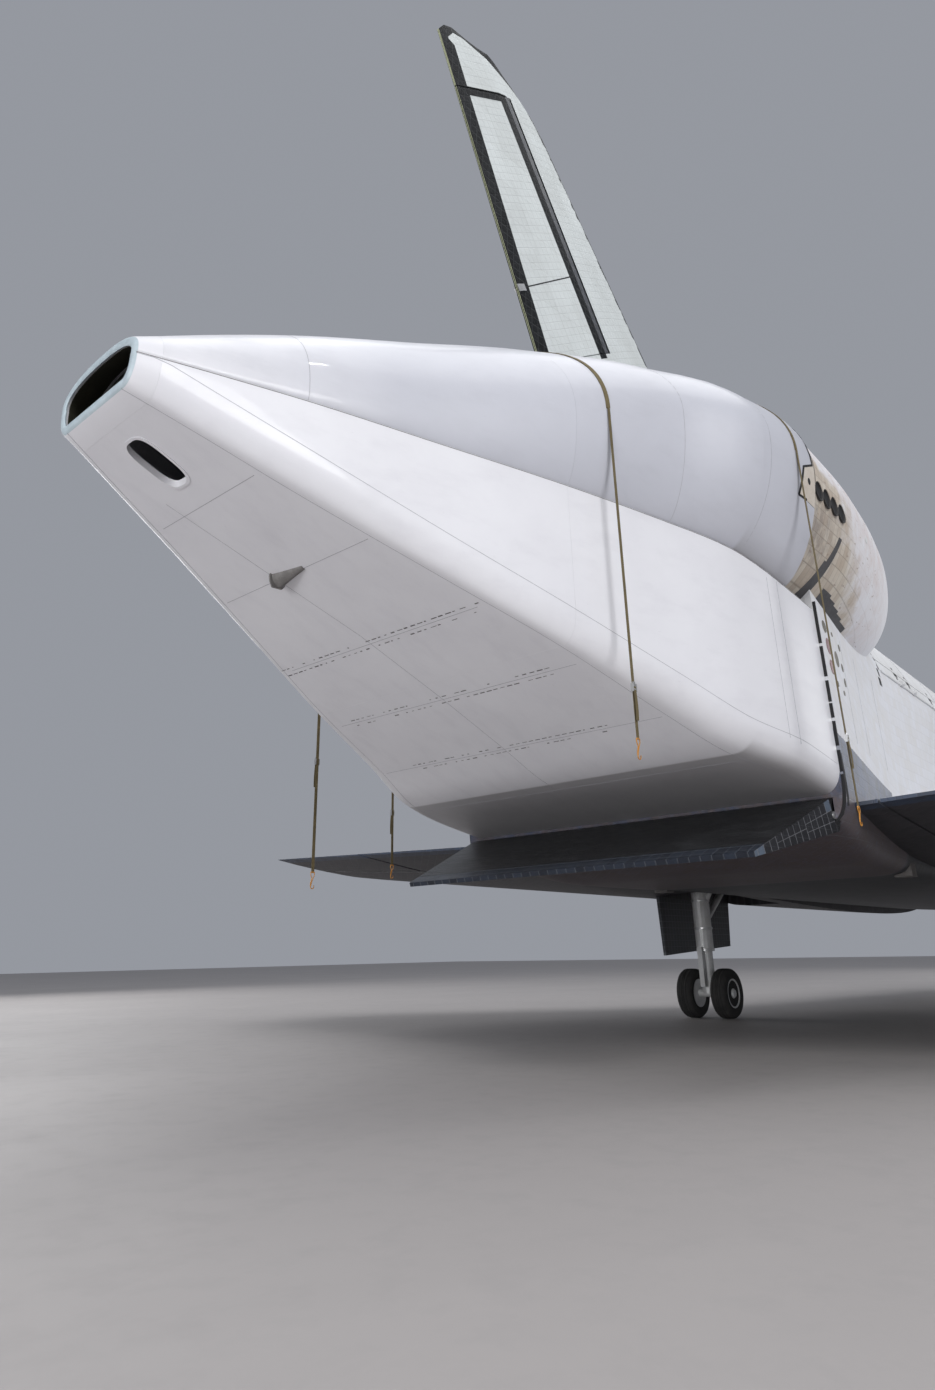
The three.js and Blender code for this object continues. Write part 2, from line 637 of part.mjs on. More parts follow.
// Everything below the crease of the tail cone, lowered by a gap.
function belowCrease(shift) {
  const crease = coneRows.map(({ x, crease: z }) => [x, z + shift]);
  const [first, last] = [crease[0], crease.at(-1)];
  return prism([[first[0] - 60, 200], [first[0] - 60, first[1]], ...crease,
    [last[0] + 20, last[1]], [last[0] + 20, 200]], "y", -200, 200);
}

const root = new THREE.Group();

function addPiece(name, shape, finish) {
  const mesh = new THREE.Mesh(geometryOf(shape), new THREE.MeshStandardMaterial(FINISHES[finish]));
  mesh.name = name;
  root.add(mesh);
}

// A name for a piece on one side: +1 is starboard, the right.
const SIDES = [{ side: -1, word: "left" }, { side: 1, word: "right" }];

function forwardFuselage() {
  const thrusterSpace = (grow) => box([NOSE_CAP_END - 20, -120, THRUSTER_FLOOR_Z - grow],
    [THRUSTER_END + grow, 120, 520]);
  addPiece("nose_cap", hull(NOSE_X, NOSE_CAP_END), "greyEdge");
  addPiece("forward_thruster_module",
    hull(NOSE_CAP_END + TOUCH_GAP, THRUSTER_END + 1).intersect(thrusterSpace(0)), "whiteBlanket");

  const outer = hull(NOSE_CAP_END + TOUCH_GAP, BAY_FRONT);
  const cabin = hull(CABIN_FRONT, CABIN_REAR, -CABIN_WALL);
  let shell = outer.subtract(cabin).subtract(thrusterSpace(TOUCH_GAP));
  const { front, rear, half, roof } = NOSE_WELL;
  shell = shell.subtract(box([front, -half, 200], [rear, half, roof]));
  for (const row of named(WINDOW_COLUMNS, WINDOWS)) {
    for (const { side } of SIDES) shell = shell.subtract(windowCutter(row, side));
  }

  // Side hatch: a round plug of the port wall on a hinge along its foot
  const { x, z, radius, hingeRadius, hingeHalf, lugHalf } = HATCH;
  const hingeZ = z - radius - hingeRadius - RUNNING_GAP;
  const hingeY = hullPointAt(x + hingeHalf, hingeZ) - hingeRadius - TOUCH_GAP;
  const through = (r) => bar([x, -130, z], [x, -80, z], r, r, 28);
  const plug = outer.subtract(cabin).intersect(through(radius));
  const lug = (offset) => box([x + offset - lugHalf, hingeY - hingeRadius, hingeZ - hingeRadius],
    [x + offset + lugHalf, hingeY + 4 * hingeRadius, hingeZ + hingeRadius]);
  const lugOffset = hingeHalf + lugHalf + TOUCH_GAP;
  const leafTop = z - radius + 4 * hingeRadius;
  const leaf = (foot, depth) => box([x - hingeHalf, hingeY - hingeRadius, foot],
    [x + hingeHalf, hingeY + depth, leafTop]);
  const leaves = join(leaf(hingeZ, 0), leaf(z - radius + 1, 3 * hingeRadius));
  const rod = bar([x - hingeHalf, hingeY, hingeZ], [x + hingeHalf, hingeY, hingeZ], hingeRadius);
  addPiece("side_hatch", join(plug, leaves, rod), "whiteBlanket");
  shell = join(shell.subtract(through(radius + RUNNING_GAP)), lug(-lugOffset), lug(lugOffset));
  const below = (z) => box([NOSE_CAP_END, -120, 200], [BAY_FRONT + 1, 120, z]);
  const lower = shell.intersect(below(PARTING_Z));
  addPiece("forward_fuselage_lower", lower.add(pad(PADS.forward, 1)), "whiteBlanket");
  addPiece("forward_fuselage_upper", shell.subtract(below(PARTING_Z + TOUCH_GAP)), "whiteBlanket");

  // Glass behind the window openings, one curved pane
  const liner = hull(CABIN_FRONT - 30, CABIN_REAR - 20, -CABIN_WALL - TOUCH_GAP)
    .subtract(hull(CABIN_FRONT - 31, CABIN_REAR - 19, -CABIN_WALL - GLASS_THICKNESS));
  const glassSpace = box([CABIN_FRONT + TOUCH_GAP, -110, GLASS.foot], [GLASS.rear, 110, 520]);
  addPiece("cabin_glass", liner.intersect(glassSpace), "glass");

  // Flight deck: floor, instrument console and two seats in one piece
  const deckSlice = hull(CABIN_FRONT + TOUCH_GAP, CABIN_REAR - TOUCH_GAP, -CABIN_WALL - TOUCH_GAP);
  const floorSpace = box([CABIN_FRONT, -110, DECK.floorFoot], [CABIN_REAR, 110, DECK.floorTop]);
  const floor = deckSlice.intersect(floorSpace);
  const root = DECK.floorTop - 1;
  const deck = [box([CONSOLE.front, -CONSOLE.half, root], [CONSOLE.rear, CONSOLE.half, CONSOLE.top])];
  for (const { side } of SIDES) {
    const y = SEAT.y * side;
    deck.push(box([SEAT.front, y - SEAT.half, root], [SEAT.rear, y + SEAT.half, SEAT.top]));
    deck.push(box([SEAT_BACK.front, y - SEAT_BACK.half, SEAT.top - 1],
      [SEAT_BACK.rear, y + SEAT_BACK.half, SEAT_BACK.top]));
  }
  addPiece("flight_deck", join(floor, ...deck), "cabinGrey");
}

// The pad of one belly fitting.
function pad({ x, y, half, face }, side) {
  return box([x - half, side * y - half, face], [x + half, side * y + half, face + 9]);
}

// Outer y of the port side of the hull at a station and a height below the waist.
function hullPointAt(x, z) {
  const row = between(hullRows, "x", x);
  const share = Math.abs((row.waist - z) / (row.waist - row.bottom));
  return -row.half * (1 - share ** row.lower) ** (1 / row.lower);
}

function midFuselage() {
  const bay = bar([BAY_FRONT - 1, 0, BAY_AXIS_Z], [BAY_REAR + 1, 0, BAY_AXIS_Z], BAY_RADIUS, BAY_RADIUS, 40);
  const open = box([BAY_FRONT - 1, -BAY_RADIUS, BAY_AXIS_Z], [BAY_REAR + 1, BAY_RADIUS, 520]);
  const above = box([BAY_FRONT - 1, -120, SILL_Z], [BAY_REAR + 1, 120, 520]);
  const tub = hull(BAY_FRONT + TOUCH_GAP, BAY_REAR - TOUCH_GAP).subtract(bay).subtract(open).subtract(above);
  addPiece("mid_fuselage", tub, "whiteBlanket");

  const [front, rear] = [BAY_FRONT + RUNNING_GAP, BAY_REAR - RUNNING_GAP];
  const axisEnds = [front - 1, rear + 1].map((x) => [x, 0, BAY_AXIS_Z]);
  const inner = bar(...axisEnds, DOOR_INNER_RADIUS, DOOR_INNER_RADIUS, 40);
  const arch = hull(front, rear).subtract(inner);
  for (const { side, word } of SIDES) {
    const half = box([front - 1, Math.min(side * RUNNING_GAP / 2, side * 120), DOOR_EDGE_Z],
      [rear + 1, Math.max(side * RUNNING_GAP / 2, side * 120), 520]);
    const { y, z, radius } = DOOR_HINGE;
    const rodEnds = [BAY_FRONT + TOUCH_GAP, BAY_REAR - TOUCH_GAP].map((x) => [x, side * y, z]);
    const rod = bar(...rodEnds, radius, radius, 10);
    addPiece(`payload_bay_door_${word}`, arch.intersect(half).add(rod), "whiteBlanket");
  }
}

function aftFuselage() {
  const { hingeX, hingeZ, noseRadius, hingeHalf } = FLAP;
  const reach = hingeHalf + RUNNING_GAP;
  const coveRadius = noseRadius + RUNNING_GAP;
  const cove = bar([hingeX, -reach, hingeZ], [hingeX, reach, hingeZ], coveRadius, coveRadius, 32);
  const under = box([hingeX, -reach, 200], [hingeX + 20, reach, hingeZ + noseRadius]);
  const body = hull(BAY_REAR, BASE_X).subtract(cove).subtract(under);
  addPiece("aft_fuselage", join(body, ...SIDES.map(({ side }) => pad(PADS.aft, side))), "whiteBlanket");
}

function pods(fin) {
  const fuselage = hull(BAY_REAR - 5, BASE_X + CUT_MARGIN, TOUCH_GAP);
  const rings = (side) => podRows.map(({ x, inner, outer, bottom, top }) => {
    const ring = [];
    for (let i = 0; i < HULL_POINTS; i += 1) {
      const [c, s] = [Math.cos, Math.sin].map((f) => f((2 * Math.PI * i) / HULL_POINTS));
      const y = (inner + outer) / 2 + c * (outer - inner) / 2 - POD_LEAN * Math.max(0, s) ** 2;
      ring.push([x, side * y, (bottom + top) / 2 + s * (top - bottom) / 2]);
    }
    return ring;
  });
  for (const { side, word } of SIDES) {
    const cutConeSpace = cone(BASE_X - 1, BASE_X + CUT_MARGIN, -TOUCH_GAP).intersect(belowCrease(TOUCH_GAP));
    const shape = loft(rings(side)).subtract(fuselage).subtract(cutConeSpace).subtract(fin);
    addPiece(`engine_pod_${word}`, shape, "whiteBlanket");
  }
}

function finAndRudder() {
  const blank = loft(finRows.map(({ z }) => finRing(z)));
  const { front, rear, half, foot, top } = CHUTE_HOUSING;
  const housing = join(box([front, -half, FIN_ROOT_Z - 2], [BASE_X, half, top]),
    box([BASE_X - 1, -half, foot], [rear, half, top]));
  const belowHousing = box([BASE_X, -half, FIN_ROOT_Z - 10], [rear + CUT_MARGIN, half, foot]);
  const fuselage = hull(BAY_REAR - 5, BASE_X + CUT_MARGIN, TOUCH_GAP);
  const whole = blank.add(housing).subtract(belowHousing).subtract(fuselage);
  const nose = (grow, low, high) => rudderBar(low, high, 0, (h) => h + grow, () => 0);
  const space = join(rudderBlock(-RUNNING_GAP, rudderLength + RUNNING_GAP, 0, RUDDER_REACH, -30, 30),
    nose(RUNNING_GAP, -RUNNING_GAP, rudderLength + RUNNING_GAP));
  addPiece("vertical_fin", whole.subtract(space), "whiteBlanket");

  // The spar turns with the rudder and carries the two halves of the speed brake
  const sparBlock = rudderBlock(0, rudderLength, 0, RUDDER_SPAR_DEPTH, -30, 30);
  const sparNose = nose(-0.4, 0, rudderLength)
    .intersect(rudderBlock(-1, rudderLength + 1, -30, RUDDER_SPAR_DEPTH, -30, 30));
  const pins = [[-RUNNING_GAP + TOUCH_GAP, 3], [rudderLength - 3, rudderLength + RUNNING_GAP - TOUCH_GAP]]
    .map(([low, high]) => rudderBar(low, high, 0, () => PIN_RADIUS, () => 0));
  addPiece("rudder_spar", join(blank.intersect(sparBlock), sparNose, ...pins), "blackTile");

  const [low, high] = [RUDDER_END_GAP, rudderLength - RUDDER_END_GAP];
  for (const { side, word } of SIDES) {
    const [y0, y1] = side > 0 ? [RUNNING_GAP / 2, 30] : [-30, -RUNNING_GAP / 2];
    const front = RUDDER_SPAR_DEPTH + RUNNING_GAP;
    const panel = blank.intersect(rudderBlock(low, high, front, RUDDER_REACH, y0, y1));
    const rod = rudderBar(low, high, RUDDER_SPAR_DEPTH + TOUCH_GAP + BRAKE_ROD_RADIUS, () => BRAKE_ROD_RADIUS,
      (h) => side * (h * 0.97 - 0.5));
    addPiece(`speed_brake_${word}`, panel.add(rod), "whiteBlanket");
  }
  return whole;
}

function wings() {
  const fuselage = hull(BAY_FRONT - 100, BASE_X, TOUCH_GAP);
  for (const { side, word } of SIDES) {
    const span = (from, to) => (side > 0 ? [from, to] : [-to, -from]);
    let wing = wingBlank(side).subtract(fuselage);
    for (const row of ELEVONS) wing = wing.subtract(elevonRoom(row, side));
    const [ribInner, ribOuter] = span(ELEVON_SPLIT_Y - 2 * ribClear, ELEVON_SPLIT_Y + 2 * ribClear);
    wing = wing.subtract(box([ELEVON_HINGE_X + HINGE_RIB.behind, ribInner, 200],
      [ELEVON_HINGE_X + 4 * CUT_MARGIN, ribOuter, 400]));
    const [y0, y1] = span(MAIN_WELL.inner, MAIN_WELL.outer);
    wing = wing.subtract(box([MAIN_WELL.front, y0, 200], [MAIN_WELL.rear, y1, MAIN_WELL.roof]));
    const edge = wing.intersect(leadingEdgePlan(side, 0));
    addPiece(`wing_leading_edge_${word}`, edge, "greyEdge");
    addPiece(`wing_${word}`, wing.subtract(leadingEdgePlan(side, TOUCH_GAP)), "whiteBlanket");
    for (const row of ELEVONS) addPiece(`elevon_${row.name}_${word}`, elevon(row, side), "whiteBlanket");
  }
}

function bodyFlap() {
  const { hingeX, hingeZ, noseRadius, chord, droop, hingeHalf, tipHalf, edge } = FLAP;
  const angle = THREE.MathUtils.degToRad(droop);
  const place = (along, up) => [hingeX + along * Math.cos(angle) + up * Math.sin(angle),
    hingeZ - along * Math.sin(angle) + up * Math.cos(angle)];
  const ringAt = (along, top, bottom, half) => [[top, -half], [top, half], [bottom, half], [bottom, -half]]
    .map(([up, y]) => {
      const [x, z] = place(along, up);
      return [x, y, z];
    });
  const blade = loft([ringAt(0, noseRadius, -noseRadius, hingeHalf),
    ringAt(chord, noseRadius, noseRadius - edge, tipHalf)]);
  const nose = bar([hingeX, -hingeHalf, hingeZ], [hingeX, hingeHalf, hingeZ], noseRadius, noseRadius, 32);
  const reach = hingeHalf + RUNNING_GAP - TOUCH_GAP;
  const pin = bar([hingeX, -reach, hingeZ], [hingeX, reach, hingeZ], PIN_RADIUS);
  addPiece("body_flap", join(blade, nose, pin), "blackTile");
}

function tailCone() {
  const shell = cone(BASE_X + TOUCH_GAP, RIM_FRONT_X - TOUCH_GAP)
    .subtract(cone(BASE_X - 5, CONE_END_X + 5, CONE_WALL));
  const lower = belowCrease(-TOUCH_GAP);
  const upper = shell.subtract(belowCrease(0));
  const before = (x, gap) => box([BASE_X - 20, -200, 200], [x - gap, 200, 600]);
  const { front, rear, port, starboard } = HATCH_SLOT;
  const slot = box([front, port, 380], [rear, starboard, 415]);
  addPiece("cone_lower_front", shell.intersect(lower).intersect(before(CONE_SPLIT_X, 0)), "coneWhite");
  const behindSplit = before(CONE_SPLIT_X, -TOUCH_GAP);
  addPiece("cone_lower_rear", shell.intersect(lower).subtract(behindSplit).subtract(slot), "coneWhite");
  const podSpace = before(FAIRING_FRONT_X, 0);
  const { half, rear: finRear } = FIN_NOTCH;
  const finSpace = box([FAIRING_FRONT_X - 20, -half, 480], [finRear, half, 560]);
  addPiece("cone_upper_front", upper.intersect(before(CONE_SPLIT_X, 0)).subtract(podSpace).subtract(finSpace),
    "coneWhite");
  addPiece("cone_upper_rear", upper.subtract(behindSplit), "coneWhite");
  const rimBore = cone(RIM_FRONT_X - 5, CONE_END_X + 5, RIM_WALL);
  addPiece("cone_rim", cone(RIM_FRONT_X, CONE_END_X).subtract(rimBore), "rimGrey");
  const row = between(coneRows, "x", VENT.x);
  const vent = box([VENT.x - VENT.length / 2, VENT.y - VENT.width / 2, row.bottom - VENT.height],
    [VENT.x + VENT.length / 2, VENT.y + VENT.width / 2, row.bottom + 6]);
  addPiece("cone_vent", vent.subtract(cone(BASE_X, CONE_END_X, -TOUCH_GAP)), "gearSteel");
}

// Straps: each lies over the fairing in the plane of its station, hangs plumb from the widest point on
// both sides and ends in a hook.
function straps() {
  const { width, thickness, length } = STRAP_HOOK;
  for (const { name, x, starboardEnd, portEnd } of STRAPS) {
    const [rear, front] = [x + STRAP_WIDTH / 2, x - STRAP_WIDTH / 2];
    const { bulge, bulgeZ } = between(coneRows, "x", front);
    const over = cone(front, rear, -TOUCH_GAP - STRAP_THICKNESS)
      .subtract(cone(front - 2, rear + 2, -TOUCH_GAP))
      .intersect(box([front - 1, -200, bulgeZ], [rear + 1, 200, 600]));
    const inner = bulge + TOUCH_GAP + STRAP_THICKNESS / 2;
    const drops = [[1, starboardEnd], [-1, portEnd]].map(([side, end]) => {
      const [y0, y1] = [side * inner, side * (inner + STRAP_THICKNESS)].sort((a, b) => a - b);
      return box([front, y0, end], [rear, y1, bulgeZ + 0.5]);
    });
    addPiece(name, join(over, ...drops), "webbing");
    for (const [side, end, word] of [[1, starboardEnd, "right"], [-1, portEnd, "left"]]) {
      const middle = side * (inner + STRAP_THICKNESS / 2);
      const top = end - TOUCH_GAP;
      addPiece(`${name}_hook_${word}`, box([x - width / 2, middle - thickness / 2, top - length],
        [x + width / 2, middle + thickness / 2, top]), "hookOrange");
    }
  }
}

// Main engines: gimbal point, exit centre, radii where the bell leaves the base and at its exit
const ENGINES = [
  { name: "main_engine_upper", base: [BASE_X + 10, 0, 470], exit: [1606, 0, 489], throat: 24, mouth: 44 },
  { name: "main_engine_left", base: [BASE_X + 10, -57, 356], exit: [1622, -61, 371], throat: 24, mouth: 40 },
  { name: "main_engine_right", base: [BASE_X + 10, 57, 356], exit: [1622, 61, 371], throat: 24, mouth: 40 },
];

function engines() {
  for (const { name, base, exit, throat, mouth } of ENGINES) {
    const [baseX, y, z] = base;
    const neck = bar([BASE_X + TOUCH_GAP, y, z], [baseX + 9, y, z], throat - 4, throat - 4);
    addPiece(name, join(bar(base, exit, throat, mouth), neck), "engineGrey");
  }
}

// One wheel: tyre and hub turned in one profile about y, bored for its axle. Its flats, not its edges,
// are at the tyre's radius, so that it stands on one.
function wheel(x, y, z, tyreRadius, width, axleRadius) {
  const half = width / 2;
  const radius = tyreRadius / Math.cos(Math.PI / WHEEL_SIDES);
  const bore = (axleRadius + TOUCH_GAP) / Math.cos(Math.PI / WHEEL_SIDES);
  const [shoulder, rim] = [radius * 0.84, radius * 0.56];
  const hubFace = [[bore, 0.8], [rim * 0.5, 0.8], [rim * 0.9, 0.5]];
  const outline = [...hubFace, [rim, 0.8], [shoulder, 1], [radius, 0.45]];
  const face = outline.map(([r, share]) => [r, share * half]);
  const back = outline.slice().reverse().map(([r, share]) => [r, -share * half]);
  const profile = [...face, ...back, face[0]];
  return turned(profile.map(([r, offset]) => [r, offset + y]), x, z, WHEEL_SIDES);
}

// The two halves of a scissor link behind a leg: an upright and the arms that join it to the leg.
function scissorLink(x, y, foot, head, { front, rear, half, inset, thickness }) {
  const [low, high] = [foot + inset, head - inset];
  const upright = box([x + front, y - half, low], [x + rear, y + half, high]);
  const arms = [low, high - thickness].map((z) => box([x, y - half, z], [x + rear, y + half, z + thickness]));
  return join(upright, ...arms);
}

// A gear door: a plate in a plane of constant y, hung below the edge of its well.
function gearDoor(outline, y) {
  return prism(outline, "y", y - GEAR_DOOR_THICKNESS / 2, y + GEAR_DOOR_THICKNESS / 2);
}

function noseGear() {
  const { x, wheelY, tyreRadius, tyreWidth, axleRadius, pistonRadius, cylinderRadius } = NOSE_GEAR;
  const axleZ = GROUND_Z + tyreRadius;
  const steerZ = axleZ + NOSE_GEAR.cylinderAbove;
  const roof = NOSE_WELL.roof - TOUCH_GAP;
  const cylinder = bar([x, 0, steerZ], [x, 0, roof], cylinderRadius);
  const brace = bar([x - NOSE_BRACE.reach, 0, roof - 3], [x, 0, steerZ + NOSE_BRACE.above],
    NOSE_BRACE.radius, NOSE_BRACE.radius, 10);
  const trunnionY = NOSE_WELL.half - NOSE_TRUNNION.clear;
  const trunnionZ = roof - NOSE_TRUNNION.below;
  const trunnion = bar([x, -trunnionY, trunnionZ], [x, trunnionY, trunnionZ],
    NOSE_TRUNNION.radius, NOSE_TRUNNION.radius, 10);
  addPiece("nose_gear_strut", join(cylinder, brace, trunnion), "gearSteel");

  const piston = bar([x, 0, axleZ], [x, 0, steerZ - TOUCH_GAP], pistonRadius);
  const axleY = wheelY + tyreWidth / 2;
  const axle = bar([x, -axleY, axleZ], [x, axleY, axleZ], axleRadius, axleRadius, 20);
  addPiece("nose_gear_fork", join(piston, axle, scissorLink(x, 0, axleZ, steerZ, NOSE_LINK)), "gearSteel");
  for (const { side, word } of SIDES) {
    addPiece(`nose_wheel_${word}`,
      wheel(x, side * wheelY, axleZ, tyreRadius, tyreWidth, axleRadius), "rubber");
    const door = gearDoor(NOSE_DOOR, side * (NOSE_WELL.half + GEAR_DOOR_THICKNESS / 2));
    addPiece(`nose_gear_door_${word}`, door.subtract(hull(NOSE_CAP_END, BAY_FRONT, TOUCH_GAP)), "blackTile");
  }
}

function mainGear() {
  const { x, y: gearY, wheelY, tyreRadius, tyreWidth, axleRadius, pistonRadius, cylinderRadius } = MAIN_GEAR;
  const axleZ = GROUND_Z + tyreRadius;
  const sleeveZ = axleZ + MAIN_GEAR.cylinderAbove;
  const roof = MAIN_WELL.roof - TOUCH_GAP;
  for (const { side, word } of SIDES) {
    const y = side * gearY;
    const parts = [bar([x, y, sleeveZ], [x, y, roof], cylinderRadius)];
    parts.push(bar([x, y, axleZ], [x, y, sleeveZ + MAIN_GEAR.lap], pistonRadius));
    const axleHalf = wheelY + tyreWidth / 2;
    parts.push(bar([x, y - axleHalf, axleZ], [x, y + axleHalf, axleZ], axleRadius, axleRadius, 20));
    for (const { ahead, inboard, below, above, radius } of MAIN_BRACES) {
      const seat = [x - ahead, y - side * inboard, roof - below];
      parts.push(bar(seat, [x, y, axleZ + above], radius, radius, 10));
    }
    parts.push(scissorLink(x, y, axleZ, sleeveZ + 2 * MAIN_LINK.inset - MAIN_GEAR.lap, MAIN_LINK));
    addPiece(`main_gear_strut_${word}`, join(...parts), "gearSteel");
    for (const [place, offset] of [["inner", -side * wheelY], ["outer", side * wheelY]]) {
      addPiece(`main_wheel_${word}_${place}`,
        wheel(x, y + offset, axleZ, tyreRadius, tyreWidth, axleRadius), "rubber");
    }
    const door = gearDoor(MAIN_DOOR, side * (MAIN_WELL.outer + 2));
    const seated = door.subtract(wingBlank(side)).translate([0, 0, -TOUCH_GAP]);
    addPiece(`main_gear_door_${word}`, seated, "blackTile");
  }
}

forwardFuselage();
midFuselage();
aftFuselage();
const finSolid = finAndRudder();
pods(finSolid);
wings();
bodyFlap();
tailCone();
straps();
engines();
noseGear();
mainGear();

root.scale.setScalar(MODEL_MM_PER_INCH);
root.rotation.z = Math.PI / 2;
root.position.set(0, -MODEL_MM_PER_INCH * (NOSE_X + CONE_END_X) / 2, -MODEL_MM_PER_INCH * GROUND_Z);

const orbiter = new THREE.Group();
orbiter.add(root);

export default orbiter;
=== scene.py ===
"""Looks of a winged orbiter with its tail cone fitted, standing on its gear at half its real size.

Shapes are worked out in real inches, x aft from a datum ahead of the nose, y to starboard and z up, as
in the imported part, and placed in the frame in metres by one turn and one scale.
"""

from __future__ import annotations

import json
import logging
import math
from dataclasses import dataclass
from enum import Enum
from typing import Callable, Sequence

import bpy
import numpy as np
from bpy.types import Material, Node, NodeSocket, Object
from mathutils import Matrix, Vector

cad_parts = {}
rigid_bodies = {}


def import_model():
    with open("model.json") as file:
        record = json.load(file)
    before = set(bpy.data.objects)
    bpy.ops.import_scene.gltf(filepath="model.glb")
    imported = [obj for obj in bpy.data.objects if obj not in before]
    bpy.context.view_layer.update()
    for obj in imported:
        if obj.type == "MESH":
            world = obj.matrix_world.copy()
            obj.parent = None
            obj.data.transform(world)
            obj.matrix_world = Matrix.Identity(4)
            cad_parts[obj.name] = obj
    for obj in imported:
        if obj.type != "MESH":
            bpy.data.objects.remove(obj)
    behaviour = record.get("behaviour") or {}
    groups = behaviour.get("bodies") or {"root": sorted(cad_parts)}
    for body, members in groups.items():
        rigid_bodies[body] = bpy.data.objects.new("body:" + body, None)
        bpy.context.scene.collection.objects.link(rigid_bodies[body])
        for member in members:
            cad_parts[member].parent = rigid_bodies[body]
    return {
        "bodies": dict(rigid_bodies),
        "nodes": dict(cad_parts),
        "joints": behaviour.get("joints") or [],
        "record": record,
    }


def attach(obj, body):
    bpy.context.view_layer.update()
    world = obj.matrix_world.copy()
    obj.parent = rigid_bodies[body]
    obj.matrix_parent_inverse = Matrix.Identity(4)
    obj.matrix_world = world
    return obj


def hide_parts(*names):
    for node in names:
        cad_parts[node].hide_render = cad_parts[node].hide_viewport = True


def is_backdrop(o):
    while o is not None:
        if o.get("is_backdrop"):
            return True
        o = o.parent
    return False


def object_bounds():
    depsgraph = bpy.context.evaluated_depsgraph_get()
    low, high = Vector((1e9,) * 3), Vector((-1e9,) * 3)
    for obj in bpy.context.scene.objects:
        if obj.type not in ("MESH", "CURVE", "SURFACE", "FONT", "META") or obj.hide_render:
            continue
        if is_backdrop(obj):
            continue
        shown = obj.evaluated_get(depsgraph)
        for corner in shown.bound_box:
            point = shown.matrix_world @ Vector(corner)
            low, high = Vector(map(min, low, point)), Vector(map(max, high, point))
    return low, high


log = logging.getLogger("orbiter")

Array = np.ndarray
Surface = Callable[..., Array]
Row = Sequence[float]
Rows = Sequence[Row]
Colour = tuple[float, float, float]

SCALE = 0.0127  # metres of the model for each real inch
MIDDLE_X = 1062.5
GROUND_Z = 157.0
NOSE_X, CONE_END_X = 235.0, 1890.0
TOUCH_GAP = 0.035
RUNNING_GAP = 0.5
OUT, UP, DOWN = (0, 1, 0), (0, 0, 1), (0, 0, -1)
MIRROR = np.array((1.0, -1.0, 1.0))

NOSE_CAP_END, THRUSTER_END, THRUSTER_FLOOR_Z = 262.0, 376.0, 356.0
CABIN_FRONT, CABIN_REAR, CABIN_WALL = 402.0, 568.0, 5.0
PARTING_Z = 384.0
BAY_FRONT, BAY_REAR, BASE_X = 582.0, 1307.0, 1531.0
FAIRING_FRONT_X, CONE_SPLIT_X, RIM_FRONT_X = 1567.5, 1711.0, 1881.0
ELEVON_HINGE_X = 1387.0
RUDDER_HINGE = ((1520.0, 647.0), (1628.0, 814.0))
FLAP_HINGE = (1532.0, 284.0)


class Side(Enum):
    """A side of the orbiter: the sign of y there, and the word in the names of its pieces."""

    PORT = (-1, "left")
    STARBOARD = (1, "right")

    def __init__(self, sign: int, word: str) -> None:
        """Keeps both."""
        self.sign, self.word = sign, word


class Table:
    """Rows of numbers keyed by their first column, with smooth or straight values between the rows."""

    def __init__(self, columns: str, rows: Rows) -> None:
        """Keeps the names of the columns, the key first, and the rows, in rising order of the key."""
        self.columns, self.rows = columns.split(), np.array(rows, float)

    def _read(self, key: Array | float, smooth: bool) -> dict[str, Array]:
        """Columns by name: on lines, or on a cubic whose slopes are harmonic means of the lines' at each row."""
        key, at, values = np.asarray(key, float), self.rows[:, 0], self.rows[:, 1:]
        row = np.clip(np.searchsorted(at, key) - 1, 0, len(at) - 2)
        span = (at[row + 1] - at[row])[..., None]
        t, rise = (key - at[row])[..., None] / span, values[row + 1] - values[row]
        if smooth:
            steps = np.diff(values, axis=0) / np.diff(at)[:, None]
            before, after = steps[:-1], steps[1:]
            same_way = before * after > 0
            mean = np.where(same_way, 2 * before * after / np.where(same_way, before + after, 1.0), 0)
            slopes = np.concatenate([steps[:1], mean, steps[-1:]])
            start, end = slopes[row] * span, slopes[row + 1] * span
            rise = start + t * (3 * rise - 2 * start - end + t * (start + end - 2 * rise))
        found = values[row] + t * rise
        return {self.columns[0]: key, **{name: found[..., i] for i, name in enumerate(self.columns[1:])}}

    def smooth(self, key: Array | float) -> dict[str, Array]:
        """Values on a smooth curve through the rows."""
        return self._read(key, True)

    def straight(self, key: Array | float) -> dict[str, Array]:
        """Values on straight lines between rows, carried on past both ends."""
        return self._read(key, False)


HULL = Table("x half bottom waist top upper lower", [
    (235, 3, 336, 339, 342, 2, 2), (237, 9, 329, 339, 349, 2, 2), (242, 17, 321, 339, 357, 2, 2),
    (250, 25, 313, 339, 365, 2, 2.1), (262, 34.5, 304, 339, 374, 2, 2.2), (290, 50, 290, 340, 391, 2, 2.5),
    (330, 66, 280, 342, 409, 2, 3), (378, 81, 273, 346, 428, 2, 3.6), (404, 88, 270.5, 351, 452, 2.05, 4),
    (440, 95, 268.5, 359, 480, 2.1, 4.4), (480, 101, 267, 372, 495, 2.1, 5),
    (530, 104.3, 266, 388, 502.5, 2.05, 5.6), (582, 105, 266, 400, 505, 2, 7), (700, 105, 266, 400, 505, 2, 12),
    (1200, 105, 266, 400, 505, 2, 16), (1307, 105, 266, 400, 505, 2, 16), (1360, 109, 265, 402, 504, 2.4, 16),
    (1440, 118.5, 265.5, 404, 502, 3, 16), (1500, 126.5, 273, 404, 500, 3.6, 16),
    (1531, 130, 277, 404, 500, 4, 16)])
